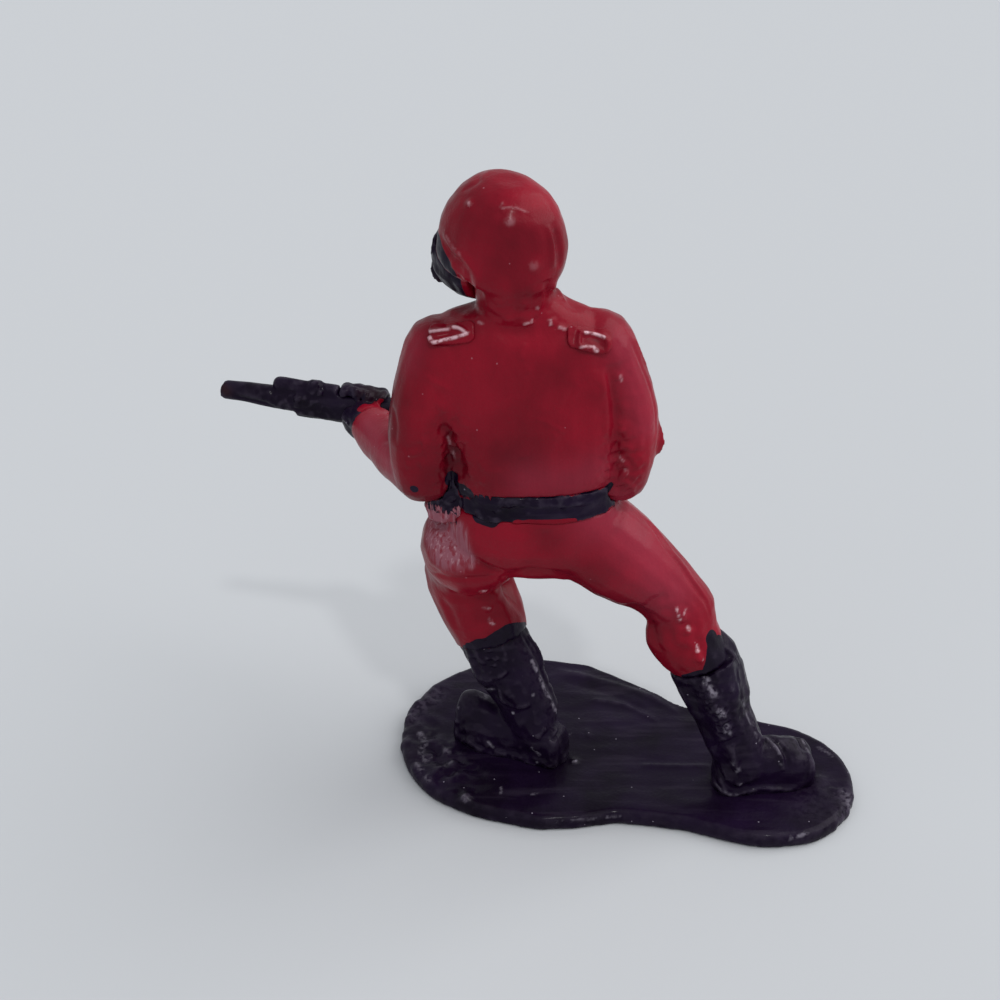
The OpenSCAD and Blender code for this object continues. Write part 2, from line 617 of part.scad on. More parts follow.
// Gloves: a cuff and palm from the wrist, and four fingers closed round the rifle
palm_left = on_rifle(hand_along, guard_half_w * 0.6, -guard_half_h * 0.5);
palm_right = on_rifle(-magazine_w, receiver_half_w, -receiver_half_h - grip_len * 0.4);
wrist_left = palm_left + wrist_left_back;
wrist_right = palm_right + wrist_right_back;
module palm_shape(wrist, elbow, palm) {
    in = unit(wrist - elbow);
    loft([ring(wrist - in * tuck, cuff_r, cuff_r), ring(mix(wrist, palm, 0.3), cuff_r, cuff_r * 1.05),
            ring(palm, cuff_r, cuff_r * 1.2)],
        [0, 0, 1], domes = [0, cuff_r * 0.7], sides = 12, steps = 1);
}
curl_share = [[0.9, -1.3], [1.4, -0.4], [1.4, 0.6], [0.7, 1.1], [-0.5, 1.15]]; // [away, up] round the guard
module left_glove_shape() {
    palm_shape(wrist_left, elbow_left, palm_left);
    for (k = [0 : 3]) {
        r = finger_r * (1.04 - 0.04 * k);
        along = hand_along + finger_r * (2.7 - 1.8 * k);
        loft([for (p = curl_share) ring(on_rifle(along, -guard_half_w * p[0], guard_half_h * p[1]), r, r)],
            aim, domes = [r, r] * 0.8, sides = 7, steps = 1);
    }
}
grasp_share = [[-1.2, 0.2], [-1.5, 1.5], [0, 2.1], [1.5, 1.5], [1.3, 0.2]]; // [away, ahead] of the grip
module right_glove_shape() {
    palm_shape(wrist_right, elbow_right, palm_right);
    for (k = [0 : 2]) {
        high = -receiver_half_h - finger_r * (1.1 + 1.8 * k);
        r = finger_r * (1 - 0.06 * k);
        loft([for (p = grasp_share) ring(on_rifle(magazine_w * (-0.6 - 0.12 * k) + p[1] * finger_r,
            receiver_half_w * p[0], high), r, r)], cross(aim, near),
            domes = [r, r] * 0.8, sides = 7, steps = 1);
    }
}
module left_glove() color(black) less() {
    left_glove_shape();
    left_sleeve_shape();
    rifle_shape();
}
module right_glove() color(black) less() {
    right_glove_shape();
    right_sleeve_shape();
    rifle_shape();
}

stand();
sole(ankle_left, foot_left_turn, boot_left_len);  // left_sole
sole(ankle_right, foot_right_turn, boot_right_len);  // right_sole
boot(knee_left, ankle_left, foot_left_turn, boot_left_len);  // left_boot
boot(knee_right, ankle_right, foot_right_turn, boot_right_len);  // right_boot
left_trouser_leg();
right_trouser_leg();
trouser_seat();
belt();
buckle();
hip_pouch();
jacket();
left_sleeve();
right_sleeve();
left_glove();
right_glove();
shoulder_strap(shoulder_left, elbow_left, arm_left_bow, strap_back[0]);  // left_shoulder_strap
shoulder_strap(shoulder_right, elbow_right, arm_right_bow, strap_back[1]);  // right_shoulder_strap
collar();
hood();
helmet();
face_mask();
eyepiece(1);  // left_eyepiece
eyepiece(-1);  // right_eyepiece
mask_filter();
barrel();
gas_tube();
handguard();
receiver();
magazine();
pistol_grip();
stock();
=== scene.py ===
# Toy soldier on a moulded stand: the looks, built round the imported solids.
# Working lengths are millimetres in the solids' own frame; each piece is scaled to metres at the end.
import math
from functools import partial
import bmesh
import bpy
import numpy as np
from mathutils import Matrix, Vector, noise
from mathutils.bvhtree import BVHTree


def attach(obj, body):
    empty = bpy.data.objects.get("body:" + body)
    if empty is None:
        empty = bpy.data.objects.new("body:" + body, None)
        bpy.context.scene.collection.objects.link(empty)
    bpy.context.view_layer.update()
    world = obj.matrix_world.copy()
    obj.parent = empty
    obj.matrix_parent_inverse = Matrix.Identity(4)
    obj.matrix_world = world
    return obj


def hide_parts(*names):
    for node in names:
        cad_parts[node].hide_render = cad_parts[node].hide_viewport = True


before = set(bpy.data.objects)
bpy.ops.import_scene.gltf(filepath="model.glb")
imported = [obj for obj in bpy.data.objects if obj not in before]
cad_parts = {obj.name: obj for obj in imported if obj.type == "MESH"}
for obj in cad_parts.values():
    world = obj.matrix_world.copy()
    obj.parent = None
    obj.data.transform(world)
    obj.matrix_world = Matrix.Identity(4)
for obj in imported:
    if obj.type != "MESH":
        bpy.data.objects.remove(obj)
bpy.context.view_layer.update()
print("packed solids loaded:", len(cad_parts))

millimetre = 0.001

# the photograph's camera: 32 degrees down on the soldier's back
photoCamera = {
    "aim": (-9.0, -3.4, 24.6),  # mm, the point in the middle of the picture
    "distance": 137.0,  # mm from that point
    "lookDown": 32.0,  # degrees
    "focalPixels": 2080.0,
    "pictureSide": 1000.0,
    "filmWidth": 36.0,  # mm
    "clip": (0.01, 100.0),  # metres
}
lookDown = math.radians(photoCamera["lookDown"])
cameraForward = np.array([0.0, math.cos(lookDown), -math.sin(lookDown)])
cameraUp = np.array([0.0, math.sin(lookDown), math.cos(lookDown)])
cameraRight = np.array([1.0, 0.0, 0.0])
cameraPlace = np.array(photoCamera["aim"]) - cameraForward * photoCamera["distance"]


def makeCamera():
    data = bpy.data.cameras.new("photoCamera")
    data.sensor_width = photoCamera["filmWidth"]
    data.lens = photoCamera["filmWidth"] * photoCamera["focalPixels"] / photoCamera["pictureSide"]
    camera = bpy.data.objects.new("photoCamera", data)
    camera.location = Vector(cameraPlace * millimetre)
    camera.rotation_euler = (math.radians(90) - lookDown, 0.0, 0.0)
    data.clip_start, data.clip_end = photoCamera["clip"]
    bpy.context.scene.collection.objects.link(camera)
    bpy.context.scene.camera = camera


makeCamera()
print("camera made")


# mesh helpers: all of them work on a Blender mesh in millimetres

smoothing = {
    "in": 0.55,  # share of the way to the neighbours' mean
    "out": 0.57,  # share of the way back, so that limbs keep their girth
    "plain": 0.5,
    "calmRounds": 60,  # for a region that is evened by a mark
    "steadyRounds": 6,  # for the seams between pieces
    "ownVote": 1.5,  # how much a face holds on to its own piece
    "fewestFaces": 250,  # a patch smaller than this joins the piece round it
    "spreadRounds": 60,
    "hollowRounds": 6,  # spread of a crease or a crest
    "deepRounds": 60,  # spread of the darkening in hollows: pooled paint, and painted shade in the creases
}


def getPoints(mesh):
    points = np.empty(len(mesh.vertices) * 3)
    mesh.vertices.foreach_get("co", points)
    return points.reshape(-1, 3)


def setPoints(mesh, points):
    mesh.vertices.foreach_set("co", points.ravel())
    mesh.update()


def getNormals(mesh):
    normals = np.empty(len(mesh.vertices) * 3)
    mesh.vertex_normals.foreach_get("vector", normals)
    return normals.reshape(-1, 3)


def getEdges(mesh):
    edges = np.empty(len(mesh.edges) * 2, dtype=np.int64)
    mesh.edges.foreach_get("vertices", edges)
    return edges.reshape(-1, 2)


def neighbourMean(edges, values):
    # values averaged over each vertex's neighbours
    count = len(values)
    ends = np.concatenate([edges[:, 0], edges[:, 1]])
    others = np.concatenate([edges[:, 1], edges[:, 0]])
    degree = np.maximum(np.bincount(ends, minlength=count), 1)
    if values.ndim == 1:
        return np.bincount(ends, values[others], minlength=count) / degree
    columns = [np.bincount(ends, column[others], minlength=count) / degree for column in values.T]
    return np.stack(columns, 1)


def relax(mesh, rounds):
    # evens out the voxel steps and facets, with a counter step against shrinking
    edges = getEdges(mesh)
    points = getPoints(mesh)
    for _ in range(rounds):
        points = points + smoothing["in"] * (neighbourMean(edges, points) - points)
        points = points - smoothing["out"] * (neighbourMean(edges, points) - points)
    setPoints(mesh, points)


def soften(mesh, rounds, share=None):
    # plain smoothing, which rounds edges and fills creases
    edges = getEdges(mesh)
    points = getPoints(mesh)
    weight = 1.0 if share is None else share[:, None]
    for _ in range(rounds):
        points = points + smoothing["plain"] * weight * (neighbourMean(edges, points) - points)
    setPoints(mesh, points)


def solidFaces(nodes):
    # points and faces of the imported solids, in mm, and which solid each face is from
    points, faces, owner = [], [], []
    for index, name in enumerate(nodes):
        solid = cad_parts[name].data
        start = len(points)
        points += [v.co / millimetre for v in solid.vertices]
        for polygon in solid.polygons:
            faces.append([start + i for i in polygon.vertices])
            owner.append(index)
    return points, faces, owner


def voxelJoin(nodes, voxel):
    # the solids as one closed skin, and the solid that each of its faces belongs to
    points, faces, owner = solidFaces(nodes)
    raw = bpy.data.meshes.new("raw")
    raw.from_pydata(points, [], faces)
    holder = bpy.data.objects.new("raw", raw)
    bpy.context.scene.collection.objects.link(holder)
    remesh = holder.modifiers.new("skin", "REMESH")
    remesh.mode = "VOXEL"
    remesh.voxel_size = voxel
    graph = bpy.context.evaluated_depsgraph_get()
    skin = bpy.data.meshes.new_from_object(holder.evaluated_get(graph))
    bpy.data.objects.remove(holder)
    tree = BVHTree.FromPolygons(points, faces)
    label = np.array([owner[tree.find_nearest(p.center)[2]] for p in skin.polygons])
    return skin, label


def steadyLabels(mesh, label):
    # each face takes the label that most of its neighbours have, so that seams run clean
    pairs = {}
    for polygon in mesh.polygons:
        for key in polygon.edge_keys:
            pairs.setdefault(key, []).append(polygon.index)
    pairs = np.array([p for p in pairs.values() if len(p) == 2])
    kinds = label.max() + 1
    for _ in range(smoothing["steadyRounds"]):
        votes = np.zeros((len(label), kinds))
        votes[np.arange(len(label)), label] += smoothing["ownVote"]
        np.add.at(votes, (pairs[:, 0], label[pairs[:, 1]]), 1.0)
        np.add.at(votes, (pairs[:, 1], label[pairs[:, 0]]), 1.0)
        label = votes.argmax(1)
    return joinIslands(pairs, label)


def joinIslands(pairs, label):
    # patches of only a few faces go to the piece round them
    same = pairs[label[pairs[:, 0]] == label[pairs[:, 1]]]
    patch = np.arange(len(label))
    before = None
    while before is None or not np.array_equal(patch, before):
        before = patch.copy()
        np.minimum.at(patch, same[:, 0], patch[same[:, 1]])
        np.minimum.at(patch, same[:, 1], patch[same[:, 0]])
        patch = patch[patch]
    sizes = np.bincount(patch, minlength=len(label))
    small = sizes[patch] < smoothing["fewestFaces"]
    for kind in np.unique(label):
        own = patch[label == kind]
        small[patch == own[sizes[own].argmax()]] = False  # the largest patch of each piece stays
    for _ in range(smoothing["spreadRounds"]):
        for inner, outer in ((0, 1), (1, 0)):
            taken = pairs[small[pairs[:, inner]] & ~small[pairs[:, outer]]]
            label[taken[:, inner]] = label[taken[:, outer]]
            small[taken[:, inner]] = False
    return label


# marks: relief and paint along a path, placed from the photograph or from a side of the soldier

markRules = {
    "reach": 2.6,  # widths away from its path at which a mark has faded out
    "edgeReach": 2.0,  # the same, in an edge's own reaches
    "longestJump": 2.5,  # mm; a path that leaps further has left its piece
    "fadeEnds": 5,  # a mark fades over a fifth of its length at each end
    "fadePower": 0.7,
    "pixelStep": 1.5,  # pixels between the points of a path on the photograph
    "sideStep": 0.12,  # mm between them on a side of the soldier
    "edgeSharpness": 0.35,  # widths over which an edge steps up
    "farOff": 60.0,  # mm, where a ray from the front or a side starts
}


def mark(kind, width, high, *places, view="photo", **more):
    # width and high are mm; a high below 0 cuts in
    return {"kind": kind, "width": width, "high": high, "places": places, "view": view, **more}


def pull(width, *places, by, **more):
    return mark("pull", width, 0, *places, by=by, **more)


# pale marks lay rubbed wear in a few places, and painted highlights and glints in most
ridge, grit, pale, bare = (partial(mark, kind) for kind in ("line", "grit", "pale", "bare"))


def viewRay(view, a, b):
    if view == "photo":  # a, b are the picture's pixels
        half = photoCamera["pictureSide"] / 2
        way = cameraForward * photoCamera["focalPixels"] + cameraRight * (a - half) + cameraUp * (half - b)
        return Vector(cameraPlace), Vector(way).normalized()
    far = markRules["farOff"]
    if view == "front":  # a, b are x and z
        return Vector((a, far, b)), Vector((0.0, -1.0, 0.0))
    side = -1.0 if view == "left" else 1.0  # a, b are y and z
    return Vector((side * far, a, b)), Vector((-side, 0.0, 0.0))


def smoothPath(points, step):
    # a smooth curve through the given points, about a step apart
    p = np.array(points, float)
    if len(p) == 1:
        return p
    found = []
    for i in range(len(p) - 1):
        a, b, c, d = p[max(i - 1, 0)], p[i], p[i + 1], p[min(i + 2, len(p) - 1)]
        count = max(2, int(np.linalg.norm(c - b) / step))
        for t in np.arange(count) / count:
            found.append(0.5 * (2 * b + (c - a) * t + (2 * a - 5 * b + 4 * c - d) * t ** 2
                                + (3 * b - a - 3 * c + d) * t ** 3))
    found.append(p[-1])
    return np.array(found)


def surfacePath(tree, view, points):
    # where the path's rays meet the piece, with the surface's direction there
    step = markRules["pixelStep"] if view == "photo" else markRules["sideStep"]
    hits = []
    for a, b in smoothPath(points, step):
        place, normal, _, _ = tree.ray_cast(*viewRay(view, a, b))
        if place is None:
            continue
        if not hits or (place - hits[-1][0]).length < markRules["longestJump"]:
            hits.append((place, normal))
    return np.array([h[0] for h in hits]), np.array([h[1] for h in hits])


def nearPath(tree, points, normals, line):
    # the vertices near a mark: which, how far off, whether they face as the path does, how much of the
    # mark its ends leave there, and how far they are to the left of it
    path, pathNormals = surfacePath(tree, line["view"], line["places"])
    if len(path) == 0:
        print("mark misses its piece:", line["kind"], line["places"][0])
        return None
    reach = max(line["width"] * markRules["reach"], line.get("reach", 0.0) * markRules["edgeReach"])
    inside = (points > path.min(0) - reach) & (points < path.max(0) + reach)
    near = np.all(inside, axis=1).nonzero()[0]
    if len(near) == 0:
        return None
    gap = points[near][:, None, :] - path[None, :, :]
    if line.get("level"):
        gap[:, :, 2] = 0.0  # the stand's whole thickness moves as one
    distance = np.linalg.norm(gap, axis=2)
    nearest = distance.argmin(1)
    rows = np.arange(len(near))
    facing = (normals[near] * pathNormals[nearest]).sum(1) > 0.0
    along = nearest / max(len(path) - 1, 1)
    fade = np.clip(np.minimum(along, 1 - along) * markRules["fadeEnds"], 0, 1) ** markRules["fadePower"]
    if line.get("blunt") or len(path) < 3:
        fade = np.ones(len(near))
    tangent = np.gradient(path, axis=0) if len(path) > 1 else np.ones_like(path)
    side = np.cross(pathNormals, tangent)
    side /= np.linalg.norm(side, axis=1)[:, None] + 1e-9
    across = (gap[rows, nearest] * side[nearest]).sum(1)
    return near, distance[rows, nearest], facing, fade, across


def carve(mesh, marks):
    # a pull moves a region, even smooths one, an edge leaves one side of its path standing higher,
    # grit roughens, and a line, which the pieces call a ridge, raises or cuts a rounded line or lump
    if not marks:
        return
    tree = BVHTree.FromPolygons([v.co for v in mesh.vertices], [p.vertices for p in mesh.polygons])
    points = getPoints(mesh)
    normals = getNormals(mesh)
    shift = np.zeros_like(points)
    calm = np.zeros(len(points))
    for line in marks:
        found = nearPath(tree, points, normals, line)
        if found is None:
            continue
        near, distance, facing, fade, across = found
        bell = np.exp(-(distance / line["width"]) ** 2)
        if line["kind"] == "pull":
            shift[near] += np.array(line["by"]) * (bell * facing if line.get("oneSide") else bell)[:, None]
        elif line["kind"] == "even":
            calm[near] = np.maximum(calm[near], bell * line["high"])
        elif line["kind"] == "edge":
            step = 1 / (1 + np.exp(-across / (line["width"] * markRules["edgeSharpness"])))
            size = line["high"] * (step - 0.5) * np.exp(-(distance / line["reach"]) ** 2) * fade * facing
            shift[near] += normals[near] * size[:, None]
        elif line["kind"] == "grit":
            grain = line["grain"]
            wave = np.array([noise.noise(Vector(p) / grain) for p in points[near]])
            shift[near] += normals[near] * (wave * line["high"] * bell * facing)[:, None]
        elif line["kind"] == "line":
            shift[near] += normals[near] * (line["high"] * bell * fade * facing)[:, None]
    setPoints(mesh, points + shift)
    if calm.any():
        soften(mesh, smoothing["calmRounds"], np.clip(calm, 0.0, 1.0))


flatBelow = 0.2  # mm, the underside stays flat
wavesFrom = 0.3  # mm above that, where the waves are at full size


def roughen(mesh, grain, high, stretch=(1.0, 1.0, 1.0)):
    # low waves of a hand-finished moulding, as real geometry
    points = getPoints(mesh)
    scaled = points / np.array(stretch) / grain
    size = np.array([noise.noise(Vector(p)) for p in scaled]) * high
    size *= np.clip((points[:, 2] - flatBelow) / wavesFrom, 0.0, 1.0)
    setPoints(mesh, points + getNormals(mesh) * size[:, None])


def surfaceField(mesh, rounds):
    # how hollow the surface is at each vertex: above 0 in a crease, below 0 on an edge
    edges = getEdges(mesh)
    points = getPoints(mesh)
    bend = ((neighbourMean(edges, points) - points) * getNormals(mesh)).sum(1)
    for _ in range(rounds):
        bend = bend * 0.5 + neighbourMean(edges, bend) * 0.5
    return bend


# where the enamel ends: its edge wanders round the seam between painted and bare parts

redNodes = ["left_trouser_leg", "right_trouser_leg", "trouser_seat", "jacket", "left_sleeve", "right_sleeve",
            "collar", "hood", "helmet", "left_shoulder_strap", "right_shoulder_strap"]
blackNodes = [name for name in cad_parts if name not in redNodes]
seamWidth = 0.5  # mm, on each side of the seam
sharpKinds = ("enamel", "bare", "pale", "scuff")  # paint marks with a firm edge


def enamelShare(mesh, isRed):
    others = [n for n in (blackNodes if isRed else redNodes) if n != "stand"]
    tree = BVHTree.FromPolygons(*solidFaces(others)[:2])
    gaps = np.empty(len(mesh.vertices))
    for index, vertex in enumerate(mesh.vertices):
        found = tree.find_nearest(vertex.co, seamWidth)
        gaps[index] = seamWidth if found[3] is None else found[3]
    share = 0.5 + gaps / (2 * seamWidth)
    return share if isRed else 1.0 - share


def paintFields(mesh, marks, isRed):
    fields = {"enamel": enamelShare(mesh, isRed)}
    # besides wear, stains and dust, these fields carry painted light: shade in the creases, sheen patches
    # and highlights
    for name in ("bare", "scuff", "worn", "ruddy", "pool", "pale", "bright"):
        fields[name] = np.zeros(len(mesh.vertices))
    tree = BVHTree.FromPolygons([v.co for v in mesh.vertices], [p.vertices for p in mesh.polygons])
    points, normals = getPoints(mesh), getNormals(mesh)
    for line in marks:
        if line["kind"] not in fields:
            continue
        found = nearPath(tree, points, normals, line)
        if found is None:
            continue
        near, distance, facing, _, _ = found
        sharp = 4 if line["kind"] in sharpKinds else 2
        size = line["high"] * np.exp(-(distance / line["width"]) ** sharp) * facing
        fields[line["kind"]][near] = np.maximum(fields[line["kind"]][near], size)
    fields["enamel"] = np.clip(fields["enamel"] - fields["bare"], 0.0, 1.0)
    del fields["bare"]
    return fields


# pieces

def pieceName(node):
    # left_boot becomes leftBootSkin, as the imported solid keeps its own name
    first, *rest = node.split("_")
    return first + "".join(word.capitalize() for word in rest) + "Skin"


def closeEnds(work):
    # a cut edge closes onto one hidden point inside the body, so that every piece is a closed solid;
    # dictionaries keep the order in which edges and corners are found, so every run is the same
    work.edges.ensure_lookup_table()
    rims = [e for e in work.edges if e.is_boundary]
    while rims:
        group, stack = {}, [rims[0]]
        while stack:
            edge = stack.pop()
            if edge in group:
                continue
            group[edge] = True
            for vertex in edge.verts:
                stack += [e for e in vertex.link_edges if e.is_boundary and e not in group]
        corners = dict.fromkeys(v for e in group for v in e.verts)
        centre = work.verts.new(sum((v.co for v in corners), Vector()) / len(corners))
        for edge in group:
            loop = edge.link_loops[0]
            work.faces.new((loop.link_loop_next.vert, loop.vert, centre))
        rims = [e for e in rims if e not in group]


def makePiece(node, mesh, faces, normals, fields, material):
    # one piece from the faces of a skin that belong to a node
    used = np.unique(np.concatenate(faces))
    new = {int(v): i for i, v in enumerate(used)}
    points = getPoints(mesh)[used]
    piece = bpy.data.meshes.new(pieceName(node))
    piece.from_pydata(points.tolist(), [], [[new[int(v)] for v in f] for f in faces])
    work = bmesh.new()
    work.from_mesh(piece)
    closeEnds(work)
    work.to_mesh(piece)
    work.free()
    extra = len(piece.vertices) - len(used)
    for name, values in fields.items():
        attribute = piece.attributes.new(name, "FLOAT", "POINT")
        shown = np.concatenate([values[used], np.zeros(extra)])
        attribute.data.foreach_set("value", shown.astype(np.float32))
    piece.polygons.foreach_set("use_smooth", np.ones(len(piece.polygons), bool))
    piece.update()
    outward = np.concatenate([normals[used], np.tile([0.0, 0.0, 1.0], (extra, 1))])
    piece.normals_split_custom_set_from_vertices(outward.tolist())
    piece.vertices.foreach_set("co", (getPoints(piece) * millimetre).ravel())
    piece.update()
    piece.materials.append(material)
    made = bpy.data.objects.new(pieceName(node), piece)
    bpy.context.scene.collection.objects.link(made)
    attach(made, "root")
    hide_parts(node)


def mould(pieces, voxel, evenRounds, softRounds, waves=()):
    # the pieces' solids as one soft moulding, carved, then parted into one piece for each node
    nodes = [piece["node"] for piece in pieces]
    marks = [line for piece in pieces for line in piece.get("marks", ())]
    isRed = nodes[0] in redNodes
    mesh, label = voxelJoin(nodes, voxel)
    label = steadyLabels(mesh, label)
    relax(mesh, evenRounds)
    soften(mesh, softRounds)
    carve(mesh, [m for m in marks if m["kind"] in ("pull", "even")])
    carve(mesh, [m for m in marks if m["kind"] in ("edge", "line", "grit")])
    for wave in waves:
        roughen(mesh, *wave)
    normals = getNormals(mesh)
    # deep sets where the creases are darkened, as pooled paint and painted shade
    fields = {"hollow": surfaceField(mesh, smoothing["hollowRounds"]) / voxel ** 2,
              "deep": surfaceField(mesh, smoothing["deepRounds"]) / voxel ** 2}
    if isRed:
        fields["hollow"] = np.zeros(len(mesh.vertices))  # crests wear on the bare parts alone
    fields.update(paintFields(mesh, marks, isRed))
    faces = [tuple(p.vertices) for p in mesh.polygons]
    for index, name in enumerate(nodes):
        own = [faces[k] for k in (label == index).nonzero()[0]]
        if not own:
            print("no faces for", name)
            continue
        material, slot = (crimsonEnamel, "crimson_paint") if isRed else (blackMoulding, "black_plastic")
        makePiece(name, mesh, own, normals, fields, material)
    print("moulded:", ", ".join(pieceName(n) for n in nodes), "-", len(faces), "faces")
    bpy.data.meshes.remove(mesh)


# materials

def colour(hexValue):
    # sRGB hex to linear RGBA
    values = [int(hexValue[i:i + 2], 16) / 255 for i in (1, 3, 5)]
    return [v / 12.92 if v <= 0.04045 else ((v + 0.055) / 1.055) ** 2.4 for v in values] + [1.0]


def perMetre(sizeInMillimetres):
    return 1.0 / (sizeInMillimetres * millimetre)


def addNode(tree, kind, inputs, **settings):
    # a node with its settings, its values and its links; a node among the inputs gives its first output
    made = tree.nodes.new("ShaderNode" + kind)
    for name, value in settings.items():
        setattr(made, name, value)
    for name, value in inputs.items() if isinstance(inputs, dict) else enumerate(inputs):
        if isinstance(value, bpy.types.Node):
            value = value.outputs[0]
        if isinstance(value, bpy.types.NodeSocket):
            tree.links.new(value, made.inputs[name])
        else:
            made.inputs[name].default_value = value
    return made


def limits(low, high, toLow=0.0, toHigh=1.0):
    # what a value is stretched from and to
    return {"From Min": low, "From Max": high, "To Min": toLow, "To Max": toHigh}


def sized(place, size, **more):
    # a noise of so many millimetres
    return {"Vector": place, "Scale": perMetre(size), "Detail": 3.0, **more}


crimsonFinish = {
    "thick": "#640617",  # where the enamel lies thick
    "thin": "#8a0c22",  # where the brush left a thinner, brighter coat
    "bright": "#9a3346",  # painted sheen: broad lighter patches where the light falls and shines, on the arms, the right thigh and the lower back
    "pooled": "#4c0513",  # in the creases: pooled enamel, and painted shade where the creases fall dark
    "chalk": "#925c68",  # rubbed patch over the hip
    "fibre": "#b98f97",  # the palest strands in it
    "dust": "#ad6f7a",
    "rubAndHighlight": "#e6c0c8",  # painted highlights: the bright loops on the straps' raised borders, and glints on the helmet, collar, arms and knees
    "toneSize": 6.0,  # mm, patches of thicker and thinner enamel
    "toneRange": limits(0.35, 0.65),
    "brushSize": 0.5,  # mm, width of a brush mark
    "brushDepth": 0.06,  # how much a brush mark lightens or darkens
    "dropSize": 1.1,  # mm, orange-peel waves of thick paint
    "creaseShadeRange": limits(0.05, 0.36),  # hollows in which the pooled paint and painted crease shade begin, and where they are full
    "strandSize": 0.30,  # mm, the broad strands of the rubbed patch
    "strandRange": limits(0.40, 0.50, 0.35, 1.0),
    "fibreSize": 0.16,  # mm, the fine ones
    "fibreRange": limits(0.54, 0.78),
    "chalkShare": 0.85,
    "paleGapSize": 0.35,  # mm, gaps in the pale marks
    "paleGapRange": limits(0.36, 0.50, 0.25, 1.0),
    "dustGap": 0.95,  # mm between dust specks
    "dustSize": 0.065,  # share of that gap
    "dustShare": 0.50,
    "roughness": 0.34,
    "roughSpread": (-0.06, 0.07),
    "rubbedRoughness": 0.4,  # added where the patch is rubbed
    "specular": 0.08,
    "coat": 0.11,
    "coatRoughness": 0.18,
}

polytheneFinish = {
    "dark": "#0d0414",
    "light": "#1a0d25",
    "worn": "#39313f",  # rubbed edges and dusty tops; the marks along the boots' folds are painted highlights
    "ruddy": "#2e1718",  # brown stain at the muzzle
    "rubAndHighlight": "#857e8a",  # lumps rubbed pale, and painted highlights: sparkles on the boots and bright lines on the stand's rims
    "dust": "#9a92a0",
    "streakSize": 0.8,  # mm, drawn along the stand
    "streakRange": limits(0.55, 0.72),
    "streakShare": 0.30,
    "toneSize": 3.5,  # mm
    "toneRange": limits(0.35, 0.68),
    "grainSize": 0.30,  # mm, pebbled skin of the moulding
    "crestRange": limits(-0.10, -0.60),  # edges that begin to wear, and are worn
    "crestSize": 0.7,  # mm, gaps in the wear
    "crestGaps": limits(0.38, 0.62),
    "crestShare": 0.7,
    "wearAndHighlightSize": 0.4,  # mm
    "wearAndHighlightGaps": limits(0.40, 0.55),
    "paleGapSize": 0.45,  # mm
    "paleGapRange": limits(0.42, 0.60),
    "dustGap": 0.9,  # mm
    "dustSize": 0.06,
    "dustShare": 0.60,
    "roughness": 0.38,
    "roughSpread": (-0.10, 0.12),
    "specular": 0.055,
    "coat": 0.085,
    "coatRoughness": 0.13,
}

enamelEdge = {
    "size": 0.8,  # mm, wander of the edge
    "depth": 0.6,
    "streakDepth": 1.7,  # how far the strands tear it in the rubbed patch
    "range": limits(0.48, 0.53),
}
noiseMiddle = (0.3, 0.7)  # the range in which most of a noise lies
dustFree = 0.50  # share of the cells that hold no speck
reliefDepth = {"brush": 0.02, "drops": 0.07, "grain": 0.06, "edge": 0.05, "fibres": 0.02}  # mm
reliefStrength = 0.5


def roughLimits(facts):
    low, high = (facts["roughness"] + step for step in facts["roughSpread"])
    return limits(*noiseMiddle, low, high)


